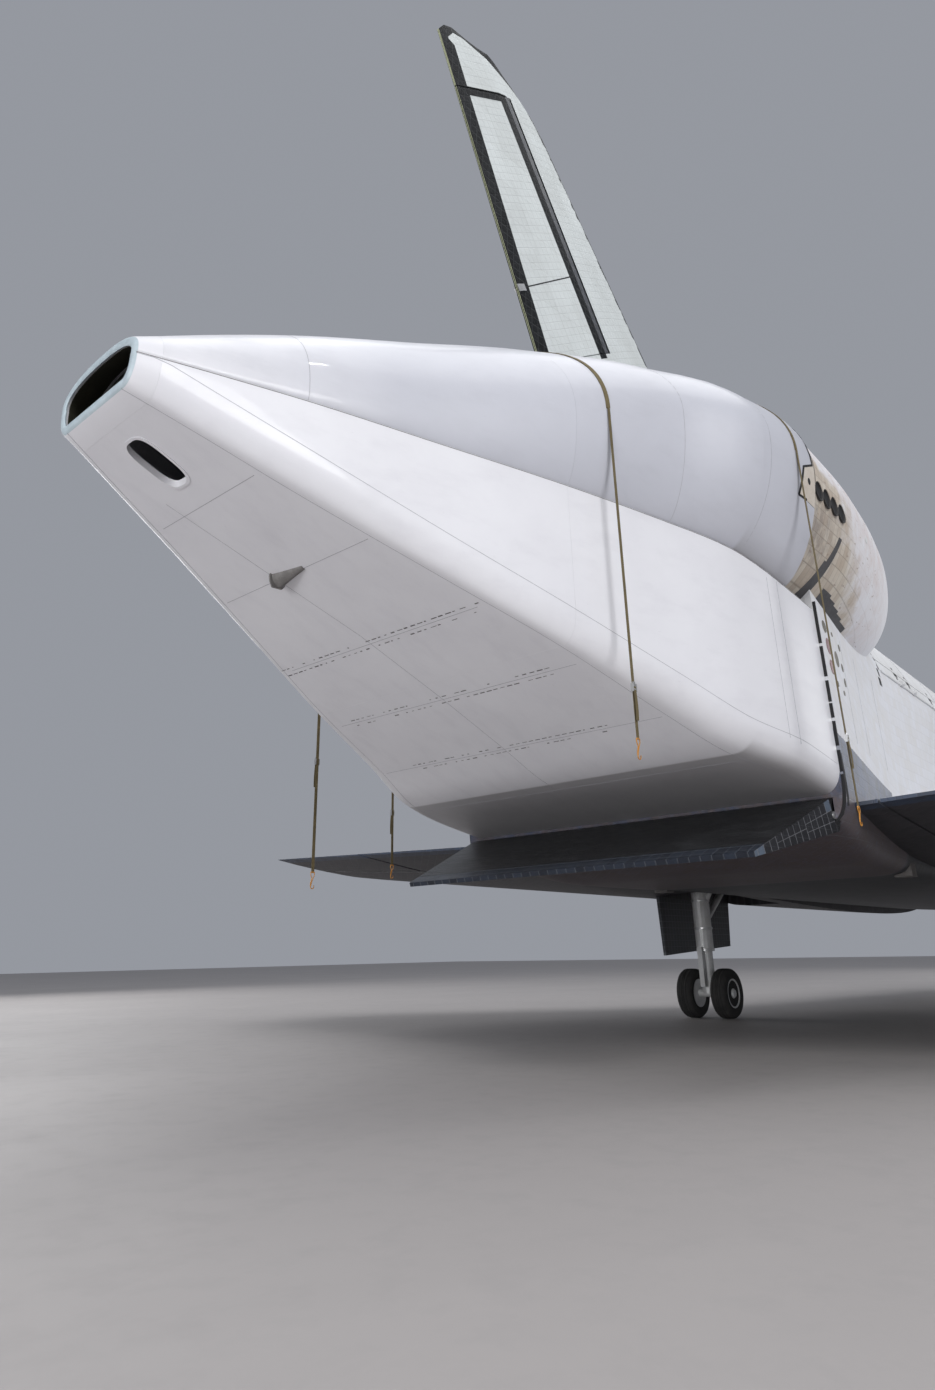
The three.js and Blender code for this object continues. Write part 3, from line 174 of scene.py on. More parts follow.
WING = Table("y leading half nose", [
    (96, 520, 25, 283), (105, 566, 25, 283.5), (120, 660, 24.5, 284.5), (140, 778, 24, 286), (160, 897, 23, 287),
    (174, 985, 22, 288), (184, 1021, 21.5, 288.5), (200, 1036, 20.5, 289.5), (250, 1086, 18, 292.5),
    (312.5, 1148.5, 15, 296.5), (380, 1216, 11.5, 300.5), (440, 1276, 8.5, 304.5), (460, 1300, 7.2, 306),
    (468.3, 1318, 5.5, 307)])
FIN = Table("z leading trailing", [
    (492, 1309, 1549), (530, 1311, 1568), (552, 1319, 1578), (580, 1339, 1591.5), (817, 1576, 1699),
    (826, 1589, 1694), (832, 1606, 1686), (835.7, 1628, 1668)])
POD = Table("x inner outer bottom top", [
    (1309, 74, 92, 462, 480), (1316, 64, 106, 444, 494), (1330, 55, 118, 428, 505), (1360, 45, 131, 412, 518),
    (1410, 36, 143, 403, 528), (1470, 31, 151, 399, 532), (1520, 29, 154, 397, 535),
    (1567.465, 29, 154, 397, 536)])
CONE = Table("x floor side bottom crease bulge bulge_z top round", [
    (1531.035, 119, 130, 295, 399, 154, 464, 541, 0.9), (1568, 117, 129, 300.5, 402, 154, 466, 542, 0.9),
    (1612, 107, 120, 307, 412, 145.5, 471, 544, 1), (1652, 95, 107, 321.6, 416, 121.5, 474, 540, 1),
    (1711, 80, 88, 343.2, 419, 95.5, 456, 523, 0.95), (1770, 60, 67.5, 364.8, 421, 70, 438, 498, 0.9),
    (1829, 40, 48, 386.4, 422, 48.8, 426, 469.5, 0.84), (1862, 30, 37, 398.5, 421.5, 37.4, 423, 451, 0.84),
    (1890, 21, 28, 408.7, 420.5, 28.3, 421.5, 433, 0.84)])


def xyz(x: Array | float, y: Array | float, z: Array | float) -> Array:
    """Points from three coordinates, each spread over the shape of all."""
    return np.stack(np.broadcast_arrays(x, y, z), axis=-1).astype(float)


def place(points: Array) -> Array:
    """Real inches to metres in the frame: x becomes -y, y becomes x from the middle, z is from the ground."""
    x, y, z = np.moveaxis(points, -1, 0)
    return SCALE * xyz(-y, x - MIDDLE_X, z - GROUND_Z)


def power(base: Array, exponent: Array | float) -> Array:
    """A power that keeps the sign of its base."""
    return np.sign(base) * np.abs(base) ** exponent


def mesh_grid(first: Row, second: Row) -> tuple[Array, Array]:
    """Two parameters spread over a grid, the first along rows."""
    return tuple(np.meshgrid(first, second, indexing="ij"))


def stations(start: float, end: float, step: float, *extra: float) -> Array:
    """Places from start to end, at most a step apart, and any extra places between them."""
    even = np.linspace(start, end, math.ceil(abs(end - start) / step) + 1)
    return np.unique([*even, *(value for value in extra if start < value < end)])


def whole_turn(count: int) -> Array:
    """Angles evenly round a circle, the last short of the first."""
    return np.linspace(0, 2 * np.pi, count, endpoint=False)


def through(knots: Rows, count: int) -> Array:
    """Points on straight lines through knots, the same number of steps for each line."""
    knots, at = np.array(knots, float), np.linspace(0, 1, len(knots))
    return np.stack([np.interp(np.linspace(0, 1, count), at, column) for column in knots.T], axis=-1)


def rect(a0: float, b0: float, a1: float, b1: float) -> list[tuple[float, float]]:
    """Corners of a rectangle of two parameters."""
    return [(a0, b0), (a1, b0), (a1, b1), (a0, b1)]


class Form:
    """A mesh in real inches: points, and faces of four and of three corners."""

    def __init__(self, points: Array, quads: Array, triangles: Array = np.zeros((0, 3), int),
                 turn: bool = True) -> None:
        """Keeps the mesh.

        Args:
            points: (n, 3) corners.
            quads: (m, 4) indices.
            triangles: (k, 3) indices.
            turn: turns the faces outwards where they enclose a negative volume.
        """
        self.points, self.quads, self.triangles = points.reshape(-1, 3), quads.reshape(-1, 4), triangles
        halves = [self.quads[:, :3], self.quads[:, [0, 2, 3]], self.triangles]
        a, b, c = np.moveaxis(self.points[np.concatenate(halves)], 1, 0)
        if turn and np.einsum("ij,ij->", a - self.points.mean(axis=0), np.cross(b - a, c - a)) < 0:
            self.quads, self.triangles = self.quads[:, ::-1], self.triangles[:, ::-1]

    @classmethod
    def loft(cls, rings: Array) -> Form:
        """A skin through (count, around, 3) closed rings, with a fan over each end."""
        rings = np.asarray(rings, float)
        count, around = rings.shape[:2]
        index = np.arange(count * around).reshape(count, around)
        following = np.roll(index, -1, axis=1)
        quads = np.stack([index[:-1], following[:-1], following[1:], index[1:]], axis=-1)
        foot = np.full(around, count * around)
        fans = [np.stack([following[0], index[0], foot], axis=-1),
                np.stack([index[-1], following[-1], foot + 1], axis=-1)]
        return cls(np.concatenate([rings.reshape(-1, 3), rings[[0, -1]].mean(axis=1)]), quads, np.concatenate(fans))

    @classmethod
    def plate(cls, outer: Array, inner: Array) -> Form:
        """A slab between two grids of points, closed along their four borders."""
        count = outer.shape[0] * outer.shape[1]
        top = np.arange(count).reshape(outer.shape[:2])
        faces = np.stack([top[:-1, :-1], top[1:, :-1], top[1:, 1:], top[:-1, 1:]], axis=-1).reshape(-1, 4)
        border = np.concatenate([top[0, :-1], top[:-1, -1], top[-1, :0:-1], top[:0:-1, 0]])
        after = np.roll(border, -1)
        walls = np.stack([border, after, after + count, border + count], axis=-1)
        return cls(np.concatenate([outer.reshape(-1, 3), inner.reshape(-1, 3)]),
                   np.concatenate([faces, faces[:, ::-1] + count, walls]))

    @classmethod
    def ring(cls, grid: Array) -> Form:
        """A closed profile carried round a closed path: a (around, profile, 3) grid that wraps both ways."""
        index = np.arange(grid.shape[0] * grid.shape[1]).reshape(grid.shape[:2])
        right, down = np.roll(index, -1, axis=1), np.roll(index, -1, axis=0)
        return cls(grid, np.stack([index, right, np.roll(right, -1, axis=0), down], axis=-1))

    @classmethod
    def block(cls, low: Row, high: Row) -> Form:
        """A box between two corners."""
        return cls.loft([[(x, y, z) for y, z in rect(*low[1:], *high[1:])] for x in (low[0], high[0])])

    @classmethod
    def lathe(cls, start: Row, end: Row, profile: Rows, sides: int = 48) -> Form:
        """A body of revolution about a line.

        Args:
            start: one end of the axis.
            end: the other end.
            profile: rows of a share of the way along the axis, and the radius there.
            sides: points round each ring.

        Returns:
            The closed form, whose rings stand square to the axis.
        """
        foot, axis = np.array(start, float), np.subtract(end, start).astype(float)
        along = axis / np.linalg.norm(axis)
        beside = np.cross(along, UP if abs(along[2]) < 0.9 else OUT)
        beside /= np.linalg.norm(beside)
        turn = whole_turn(sides)[:, None]
        circle = np.cos(turn) * beside + np.sin(turn) * np.cross(along, beside)
        share, radius = np.array(profile, float).T[..., None, None]
        return cls.loft(foot + share * axis + radius * circle)

    @classmethod
    def bar(cls, start: Row, end: Row, radius: float, end_radius: float | None = None, sides: int = 32) -> Form:
        """A round bar between two points, tapered if it has an end radius."""
        return cls.lathe(start, end, [(0, radius), (1, radius if end_radius is None else end_radius)], sides)

    @classmethod
    def tube(cls, path: Array, radius: float, sides: int = 12) -> Form:
        """A round tube along a path: circles square to the path, turned by its changes of direction."""
        tangent = np.gradient(path, axis=0)
        tangent /= np.linalg.norm(tangent, axis=1, keepdims=True)
        reference = np.array((0.0, 0.0, 1.0) if np.abs(tangent[:, 2]).mean() < 0.8 else (1.0, 0.0, 0.0))
        beside = np.cross(tangent, reference + 0.013)
        beside /= np.linalg.norm(beside, axis=1, keepdims=True)
        turn = whole_turn(sides)[None, :, None]
        circle = np.cos(turn) * beside[:, None] + np.sin(turn) * np.cross(tangent, beside)[:, None]
        return cls.loft(path[:, None] + radius * circle)

    @classmethod
    def joined(cls, forms: Sequence[Form]) -> Form:
        """Several forms as one mesh."""
        starts = np.cumsum([0] + [len(form.points) for form in forms[:-1]])
        return cls(np.concatenate([form.points for form in forms]),
                   *(np.concatenate([getattr(form, faces) + start for form, start in zip(forms, starts)])
                     for faces in ("quads", "triangles")), turn=False)

    def mirrored(self) -> Form:
        """The same form on the other side of the orbiter."""
        return Form(self.points * MIRROR, self.quads[:, ::-1], self.triangles[:, ::-1], turn=False)

    def on(self, side: Side) -> Form:
        """The form, drawn for starboard, on a side."""
        return self if side is Side.STARBOARD else self.mirrored()

    def both(self) -> Form:
        """The form, drawn for starboard, on both sides."""
        return Form.joined([self, self.mirrored()])

    def object(self, name: str) -> Object:
        """A Blender object with this mesh placed in the frame."""
        mesh = bpy.data.meshes.new(name)
        mesh.from_pydata(place(self.points).tolist(), [], self.quads.tolist() + self.triangles.tolist())
        made = bpy.data.objects.new(name, mesh)
        bpy.context.scene.collection.objects.link(made)
        return made


def carved(name: str, base: Form, cuts: Sequence[Form] = (), keeps: Sequence[Form] = ()) -> Object:
    """An object from a closed form, with other closed forms cut from it.

    Args:
        name: the object's name.
        base: what is cut.
        cuts: forms taken away.
        keeps: forms outside which everything is taken away.

    Returns:
        The object, with the cuts applied to its mesh.
    """
    made = base.object(name)
    tools = []
    for operation, forms in (("INTERSECT", keeps), ("DIFFERENCE", cuts)):
        for form in forms:
            tools.append(form.object("tool"))
            step = made.modifiers.new(operation, "BOOLEAN")
            step.operation, step.object, step.solver = operation, tools[-1], "MANIFOLD"
    spare = [tool.data for tool in tools]
    if tools:
        spare.append(made.data)
        made.data = bpy.data.meshes.new_from_object(made.evaluated_get(bpy.context.evaluated_depsgraph_get()))
        made.modifiers.clear()
    for tool in tools:
        bpy.data.objects.remove(tool)
    for mesh in spare:
        bpy.data.meshes.remove(mesh)
    made.data.name = made.name
    return made


def drape(surface: Surface, u: Array, v: Array, proud: float, hint: Row = OUT, sunk: float = 0.15) -> Form:
    """A thin slab laid on a surface: the surface's points moved along its normal, outwards and inwards.

    Args:
        surface: points in inches from two parameters.
        u: grid of the first parameter.
        v: grid of the second.
        proud: how far the slab stands out of the surface.
        hint: a direction that points roughly outwards.
        sunk: how far it reaches into the surface.

    Returns:
        The closed slab.
    """
    step = 1e-3
    normal = np.cross(surface(u + step, v) - surface(u - step, v), surface(u, v + step) - surface(u, v - step))
    normal /= np.maximum(np.linalg.norm(normal, axis=-1, keepdims=True), 1e-12)
    if (normal @ np.array(hint, float)).sum() < 0:
        normal = -normal
    points = surface(u, v)
    return Form.plate(points + proud * normal, points - sunk * normal)


def patch(surface: Surface, corners: Rows, proud: float, hint: Row = OUT, rows: int = 2, columns: int = 2,
          sunk: float = 0.15) -> Form:
    """A four-cornered slab on a surface, its parameters shared out evenly between its corners.

    Args:
        surface: points in inches from two parameters.
        corners: both parameters at each corner, in order round the patch.
        proud: how far it stands out.
        hint: a direction outwards.
        rows: points along one side.
        columns: points along the next.
        sunk: how far it reaches in.

    Returns:
        The closed slab.
    """
    a, b, c, d = np.array(corners, float)
    s, t = (grid[..., None] for grid in mesh_grid(np.linspace(0, 1, rows), np.linspace(0, 1, columns)))
    spread = (1 - s) * ((1 - t) * a + t * b) + s * ((1 - t) * d + t * c)
    return drape(surface, spread[..., 0], spread[..., 1], proud, hint, sunk)


def strip(surface: Surface, path: Rows, width: float, proud: float = 0.08, hint: Row = OUT, step: float = 6.0) -> Form:
    """A narrow slab along a path in a surface's own two parameters, both of them inches.

    Args:
        surface: points in inches from two parameters.
        path: corners of the path.
        width: width of the slab.
        proud: how far it stands out.
        hint: a direction outwards.
        step: greatest distance between its points.

    Returns:
        The closed slab.
    """
    corners = np.array(path, float)
    lengths = np.concatenate([[0], np.cumsum(np.linalg.norm(np.diff(corners, axis=0), axis=1))])
    at = stations(0, lengths[-1], step, *lengths)
    middle = np.stack([np.interp(at, lengths, corners[:, i]) for i in range(2)], axis=-1)
    along = np.gradient(middle, axis=0)
    along /= np.linalg.norm(along, axis=1, keepdims=True)
    beside = np.stack([-along[:, 1], along[:, 0]], axis=-1) * width / 2
    spread = np.stack([middle - beside, middle + beside], axis=1)
    return drape(surface, spread[..., 0], spread[..., 1], proud, hint)


def disc(surface: Surface, centre: Row, radius: float | tuple[float, float], proud: float, hint: Row = OUT,
         hole: float = 0.02, sides: int = 32) -> Form:
    """A round or oval slab on a surface, or a ring of one, from polar coordinates in its parameters."""
    wide, tall = radius if isinstance(radius, tuple) else (radius, radius)
    turn, share = mesh_grid(np.linspace(0, 2 * np.pi, sides + 1), np.linspace(hole, 1, 3))
    return drape(surface, centre[0] + wide * share * np.cos(turn), centre[1] + tall * share * np.sin(turn),
                 proud, hint)


def hoop(surface: Surface, x: float, start: float, end: float, width: float, proud: float, count: int,
         hint: Row = UP) -> Form:
    """A narrow slab round a surface at one station, between two values of its second parameter."""
    return drape(surface, *mesh_grid([x - width / 2, x + width / 2], np.linspace(start, end, count)), proud, hint)


def rounded(share: Array, exponent: Array | float) -> Array:
    """Height of a superellipse of size 1 at a share of its half width."""
    return (1 - np.clip(share, 0, 0.9999) ** exponent) ** (1 / exponent)


def trailing_x(span: Array | float | Signal) -> Array | float | Signal:
    """Station of the wing's rear edge at a distance from the middle."""
    return 1525.3 - 0.1763 * span


class Skin:
    """The orbiter's own surfaces, as points from two parameters."""

    @staticmethod
    def hull(x: Array, angle: Array, grow: float = 0.0) -> Array:
        """A superellipse section: y goes with a power of the angle's cosine, z with one of its sine.

        Args:
            x: stations.
            angle: angles about the section's middle, in radians, from starboard up.
            grow: a margin outwards.

        Returns:
            Points on the hull.
        """
        row = HULL.smooth(x)
        c, s = np.cos(angle), np.sin(angle)
        exponent = 2 / np.where(s >= 0, row["upper"], row["lower"])
        height = np.where(s >= 0, row["top"] - row["waist"], row["waist"] - row["bottom"]) + grow
        return xyz(x, power(c, exponent) * (row["half"] + grow), row["waist"] + power(s, exponent) * height)

    @staticmethod
    def hull_side(x: Array, z: Array) -> Array:
        """The starboard side of the hull at a station and a height."""
        row = HULL.smooth(x)
        rise, above = z - row["waist"], z >= row["waist"]
        share = np.abs(rise) / np.where(above, row["top"] - row["waist"], row["waist"] - row["bottom"])
        return xyz(x, row["half"] * rounded(share, np.where(above, row["upper"], row["lower"])), z)

    @staticmethod
    def hull_above(x: Array, y: Array) -> Array:
        """The top of the hull at a station and a distance from the middle."""
        row = HULL.smooth(x)
        rise = (row["top"] - row["waist"]) * rounded(np.abs(y) / row["half"], row["upper"])
        return xyz(x, y, row["waist"] + rise)

    @staticmethod
    def wing_fullness(s: Array) -> Array:
        """Half the thickness of a wing section at a share of its chord, over the greatest."""
        return 2.03 * (1.4845 * np.sqrt(s) - 0.63 * s - 1.758 * s**2 + 1.4215 * s**3 - 0.5075 * s**4) + 0.02 * s

    @classmethod
    def wing_section(cls, x: Array | float, y: Array | float) -> tuple[Array, Array, Array]:
        """Share of the chord at a station and a span, height of the chord line, and half the thickness there."""
        row = WING.straight(y)
        share = np.clip((x - row["leading"]) / (trailing_x(y) - row["leading"]), 0, 1)
        middle = row["nose"] + share * (296 + (y - 182) * 0.0615 - row["nose"])
        return share, middle, row["half"] * cls.wing_fullness(share)

    @classmethod
    def wing(cls, face: int) -> Surface:
        """A face of the starboard wing, 1 the upper and -1 the lower, as a surface of station and span."""

        def surface(x: Array, y: Array) -> Array:
            lead, trail = WING.straight(y)["leading"], trailing_x(y)
            _, middle, half = cls.wing_section(x, y)
            return xyz(np.clip(x, lead, trail), y, middle + face * half)

        return surface

    @classmethod
    def fin(cls, x: Array, z: Array) -> Array:
        """The starboard face of the fin: a quarter ellipse to its hinge, then a straight taper."""
        row = FIN.straight(z)
        share = np.clip((x - row["leading"]) / (row["trailing"] - row["leading"]), 0, 1)
        front = np.sqrt(np.maximum(0, 1 - (1 - np.minimum(share, 0.6) / 0.6) ** 2))
        half = 12.5 + (5.5 - 12.5) * (z - 492) / (835.7 - 492)
        return xyz(x, half * np.where(share > 0.6, 1 - 0.86 * (share - 0.6) / 0.4, front), z)

    @staticmethod
    def pod(x: Array, angle: Array) -> Array:
        """An ellipse round the starboard pod's middle, its upper half leaning inboard."""
        row = POD.smooth(x)
        c, s = np.cos(angle), np.sin(angle)
        y = (row["inner"] + row["outer"]) / 2 + c * (row["outer"] - row["inner"]) / 2 - 30 * np.maximum(s, 0) ** 2
        return xyz(x, y, (row["bottom"] + row["top"] + s * (row["top"] - row["bottom"])) / 2)

    @classmethod
    def pod_side(cls, x: Array, z: Array) -> Array:
        """The outer face of the starboard pod at a station and a height."""
        row = POD.smooth(x)
        share = (2 * z - row["bottom"] - row["top"]) / (row["top"] - row["bottom"])
        return cls.pod(x, np.arcsin(np.clip(share, -0.9999, 0.9999)))

    @staticmethod
    def cone_below(x: Array, t: Array, inset: float = 0.0) -> Array:
        """The tail cone up to its crease: flat floor to |t| = 1, a round corner to 2, and the side to 3.

        Args:
            x: stations.
            t: place round the section, its sign the side.
            inset: thickness of the wall, for the inner face.

        Returns:
            Points on the cone.
        """
        row, away = CONE.smooth(x), np.abs(t)
        bottom, side = row["bottom"] + inset, row["side"] - inset
        floor = np.minimum(row["floor"], side - 1)
        drop = np.minimum(14, row["crease"] - bottom - 1.5)
        turn = np.clip(away - 1, 0, 1) * np.pi / 2
        y = np.where(away <= 1, away * floor, floor + (side - floor) * np.sin(turn))
        z = bottom + drop * (1 - np.cos(turn)) + np.clip(away - 2, 0, 1) * (row["crease"] - bottom - drop)
        return xyz(x, np.sign(t) * y, z)

    @staticmethod
    def cone_above(x: Array, t: Array, inset: float = 0.0) -> Array:
        """The fairing: an arch to |t| = 1 at its widest point, then a flare in to the crease at 2."""
        row, away = CONE.smooth(x), np.abs(t)
        side, bulge = row["side"] - inset, row["bulge"] - inset
        angle, flare = np.clip(1 - away, 0, 1) * np.pi / 2, np.clip(2 - away, 0, 1) * np.pi / 2
        arch_y = bulge * np.cos(angle) ** row["round"]
        arch_z = row["bulge_z"] + (row["top"] - inset - row["bulge_z"]) * np.sin(angle) ** row["round"]
        foot_y = side + (bulge - side) * np.sin(flare) ** 1.5
        foot_z = row["crease"] + (row["bulge_z"] - row["crease"]) * (1 - np.cos(flare))
        return xyz(x, np.sign(t) * np.where(away <= 1, arch_y, foot_y), np.where(away <= 1, arch_z, foot_z))

    @staticmethod
    def cone_side(x: Array, z: Array) -> Array:
        """The starboard side wall of the cone at a station and a height."""
        return xyz(x, CONE.smooth(x)["side"], z)

    @staticmethod
    def cone_floor(x: Array, y: Array) -> Array:
        """The flat floor of the cone at a station and a distance from the middle."""
        return xyz(x, y, CONE.smooth(x)["bottom"])


def operator(operation: str, swapped: bool = False) -> Callable[..., Signal]:
    """A method that adds one Math node to a signal, with the signal as its last input if swapped."""

    def method(self: Signal, *others: Signal | float) -> Signal:
        order = (*others, self) if swapped else (self, *others)
        return self.graph.signal("ShaderNodeMath", {"operation": operation}, dict(enumerate(order)))

    return method


class Signal:
    """A number that varies over a surface: wraps a node's socket, and each operator adds a Math node."""

    __add__ = __radd__ = operator("ADD")
    __mul__ = __rmul__ = operator("MULTIPLY")
    __sub__, __rsub__ = operator("SUBTRACT"), operator("SUBTRACT", True)
    __truediv__, __rtruediv__ = operator("DIVIDE"), operator("DIVIDE", True)
    __abs__, floor, sine = operator("ABSOLUTE"), operator("FLOOR"), operator("SINE")
    low, high = operator("MINIMUM"), operator("MAXIMUM")

    def __init__(self, graph: Graph, socket: NodeSocket) -> None:
        """Keeps the socket and the graph that it is in."""
        self.graph, self.socket = graph, socket

    def clamped(self) -> Signal:
        """The value kept between 0 and 1."""
        return self.graph.signal("ShaderNodeMath", {"operation": "ADD", "use_clamp": True}, {0: self, 1: 0.0})

    def over(self, edge: Signal | float, soft: float = 0.3) -> Signal:
        """A mask: 1 above an edge and 0 below it, with a soft step between."""
        return ((self - edge) / soft + 0.5).clamped()

    def within(self, low: float, high: float, soft: float = 0.3) -> Signal:
        """A mask: 1 between two numbers."""
        return self.over(low, soft) * (1 - self.over(high, soft))


Tint = Colour | NodeSocket


class Graph:
    """A material's node tree, with a surface shader, and the patterns that the finishes share."""

    def __init__(self, name: str) -> None:
        """Starts a material with an empty surface shader."""
        self.material = bpy.data.materials.new(name)
        self.material.use_nodes = True
        self.tree = self.material.node_tree
        self.tree.nodes.clear()
        self.shader = self.node("ShaderNodeBsdfPrincipled")
        self.node("ShaderNodeOutputMaterial", None, {0: self.shader.outputs[0]})

    def feed(self, node: Node, inputs: dict) -> None:
        """Sets or links a node's sockets, by name or number; a colour gets its alpha here."""
        for key, value in inputs.items():
            source = value.socket if isinstance(value, Signal) else value
            if isinstance(source, NodeSocket):
                self.tree.links.new(source, node.inputs[key])
            else:
                node.inputs[key].default_value = (*source, 1.0) if isinstance(source, tuple) else source

    def node(self, kind: str, settings: dict | None = None, inputs: dict | None = None) -> Node:
        """A node of any kind.

        Args:
            kind: the node's type.
            settings: its own settings, set first.
            inputs: values or links of its sockets, by name or number.

        Returns:
            The node.
        """
        made = self.tree.nodes.new(kind)
        for key, value in (settings or {}).items():
            setattr(made, key, value)
        self.feed(made, inputs or {})
        return made

    def signal(self, kind: str, settings: dict | None, inputs: dict, output: int = 0) -> Signal:
        """One output of a new node, as a value."""
        return Signal(self, self.node(kind, settings, inputs).outputs[output])

    def inches(self) -> tuple[Signal, Signal, Signal]:
        """The place on the object in real inches: aft, to starboard and up."""
        point = self.node("ShaderNodeTexCoord").outputs["Object"]
        parts = self.node("ShaderNodeSeparateXYZ", None, {0: point})
        across, aft, up = (Signal(self, socket) for socket in parts.outputs)
        return aft / SCALE + MIDDLE_X, across / -SCALE, up / SCALE + GROUND_Z

    def facing_up(self) -> Signal:
        """How far the surface faces up, from 1 to -1 for down."""
        normal = self.node("ShaderNodeTexCoord").outputs["Normal"]
        return self.signal("ShaderNodeSeparateXYZ", None, {0: normal}, 2)

    def vector(self, *parts: Signal | float) -> NodeSocket:
        """Up to three values as a vector, the missing ones 0."""
        return self.node("ShaderNodeCombineXYZ", None, dict(enumerate(parts))).outputs[0]

    def noise(self, size: float, detail: float = 3.0, roughness: float = 0.55, stretch: Row = (1, 1, 1)) -> Signal:
        """Noise of a size in real inches, about 0.5, drawn out along the orbiter's x, y and z."""
        where = self.vector(*(place / (size * longer) for place, longer in zip(self.inches(), stretch)))
        return self.signal("ShaderNodeTexNoise", None,
                           {"Vector": where, "Scale": 1.0, "Detail": detail, "Roughness": roughness})

    def tiles(self, u: Signal, v: Signal, size: float, joint: float) -> tuple[Signal, Signal]:
        """Square tiles.

        Args:
            u: place along the rows, in inches.
            v: place across them.
            size: side of a tile.
            joint: width of the gap between tiles.

        Returns:
            A mask of the joints, from the distance to the nearest edge of a tile, and a random tone each.
        """
        columns, rows = u / size, v / size
        column, row = columns.floor(), rows.floor()
        inside = (0.5 - abs(columns - column - 0.5)).low(0.5 - abs(rows - row - 0.5))
        tone = self.signal("ShaderNodeTexWhiteNoise", {"noise_dimensions": "3D"}, {"Vector": self.vector(column, row)})
        return 1 - (inside * (size / joint)).clamped(), tone

    def line(self, where: Signal, points: Rows) -> Signal:
        """A broken line: its first height, plus a clamped ramp for each leg."""
        total = points[0][1]
        for (x0, y0), (x1, y1) in zip(points, points[1:]):
            total = total + ((where - x0) / (x1 - x0)).clamped() * (y1 - y0)
        return total

    def mix(self, factor: Signal | float, first: Tint, second: Tint) -> NodeSocket:
        """A colour between two, by a factor."""
        return self.node("ShaderNodeMix", {"data_type": "RGBA"}, {0: factor, 6: first, 7: second}).outputs[2]

    def finish(self, colour: Tint, roughness: Signal | float, height: Signal | None = None, depth: float = 0.002,
               strength: float = 0.4, **constants: float) -> Material:
        """Feeds the surface shader.

        Args:
            colour: base colour.
            roughness: roughness.
            height: what a bump follows.
            depth: how deep the bump is, in metres.
            strength: how strong it is.
            constants: other sockets of the shader by name, with _ for a space.

        Returns:
            The material.
        """
        named = {name.replace("_", " ").title().replace("Ior", "IOR"): value for name, value in constants.items()}
        self.feed(self.shader, {"Base Color": colour, "Roughness": roughness, **named})
        if height is not None:
            bump = self.node("ShaderNodeBump", None, {"Strength": strength, "Distance": depth, "Height": height})
            self.feed(self.shader, {"Normal": bump.outputs[0]})
        return self.material


MATERIALS: dict[str, Material] = {}


class Finish:
    """A finish that makes its material once, and the record's slot that it belongs to."""

    slot = "white_blanket"

    def build(self, graph: Graph) -> Material:
        """Draws the finish in a graph."""
        raise NotImplementedError

    def material(self) -> Material:
        """The finish's material, made on first use."""
        if repr(self) not in MATERIALS:
            MATERIALS[repr(self)] = self.build(Graph(type(self).__name__.lower()))
        return MATERIALS[repr(self)]


@dataclass(frozen=True)
class ConePaint(Finish):
    """Semi-gloss white paint over smooth panels, with faint scuffs, grime and a slow ripple."""

    base: Colour = (0.80, 0.80, 0.835)
    grime: Colour = (0.56, 0.55, 0.60)
    slot = "cone_white"

    def build(self, graph: Graph) -> Material:
        """Grime in long streaks and small scuffs over the base, painted shade on the downward-facing floor ahead of
        station 1611, and a ripple in the panels.
        """
        cloud = graph.noise(46, 5, 0.6)
        streak = graph.noise(9, 4, 0.6, (5, 1, 1)).over(0.62, 0.25)
        scuff = graph.noise(1.6, 3, 0.7, (6, 1, 1)).over(0.72, 0.08)
        speck = graph.noise(0.7, 2).over(0.79, 0.03)
        dirt = (cloud.over(0.56, 0.4) * 0.22 + streak * 0.16 + scuff * 0.2 + speck * 0.35).low(1.0)
        aft, _, _ = graph.inches()
        # painted shade: skin facing down ahead of station 1611 is darkened towards dark grey
        under = (0 - graph.facing_up()).over(0.72, 0.4) * (1 - aft.over(1611, 2.0))
        clean = graph.mix(aft.over(1832, 80), self.base, (0.78, 0.78, 0.82))
        colour = graph.mix(under * 0.55, graph.mix(dirt, clean, self.grime), (0.20, 0.19, 0.19))
        rough = 0.34 + dirt * 0.28 + graph.noise(4, 3) * 0.06
        ripple = graph.noise(30, 2, 0.5, (1.4, 1, 1)) + graph.noise(2.2, 2) * 0.05
        return graph.finish(colour, rough, ripple, 0.012, 0.35, coat_weight=0.18)


@dataclass(frozen=True)
class RimPaint(Finish):
    """The cone's white paint with a pale blue-grey edge round its opening."""

    white: Colour = (0.78, 0.78, 0.82)
    blue: Colour = (0.50, 0.59, 0.64)
    slot = "rim_grey"

    def build(self, graph: Graph) -> Material:
        """The edge colour starts an inch ahead of the end."""
        aft, _, _ = graph.inches()
        cloud = graph.noise(4, 4, 0.6)
        blue = graph.mix(cloud.over(0.5, 0.4) * 0.4, self.blue, (0.27, 0.33, 0.37))
        return graph.finish(graph.mix(aft.over(CONE_END_X - 0.9, 0.2), self.white, blue), 0.38 + cloud * 0.1,
                            graph.noise(0.8, 3), 0.0008, 0.3)


@dataclass(frozen=True)
class Paint(Finish):
    """Plain paint or bare metal with a grain, worn spots and a little dirt."""

    base: Colour
    worn: Colour
    rough: float = 0.45
    metallic: float = 0.0
    grain: float = 1.2
    slot: str = "gear_metal"

    def build(self, graph: Graph) -> Material:
        """A fine grain and soft clouds mix the worn colour into the base."""
        cloud, grain = graph.noise(self.grain * 9, 4, 0.6), graph.noise(self.grain, 3, 0.6)
        wear = (cloud.over(0.52, 0.4) * 0.45 + grain.over(0.6, 0.25) * 0.3).low(1.0)
        return graph.finish(graph.mix(wear, self.base, self.worn), self.rough + wear * 0.18, grain, 0.0012, 0.35,
                            metallic=self.metallic)


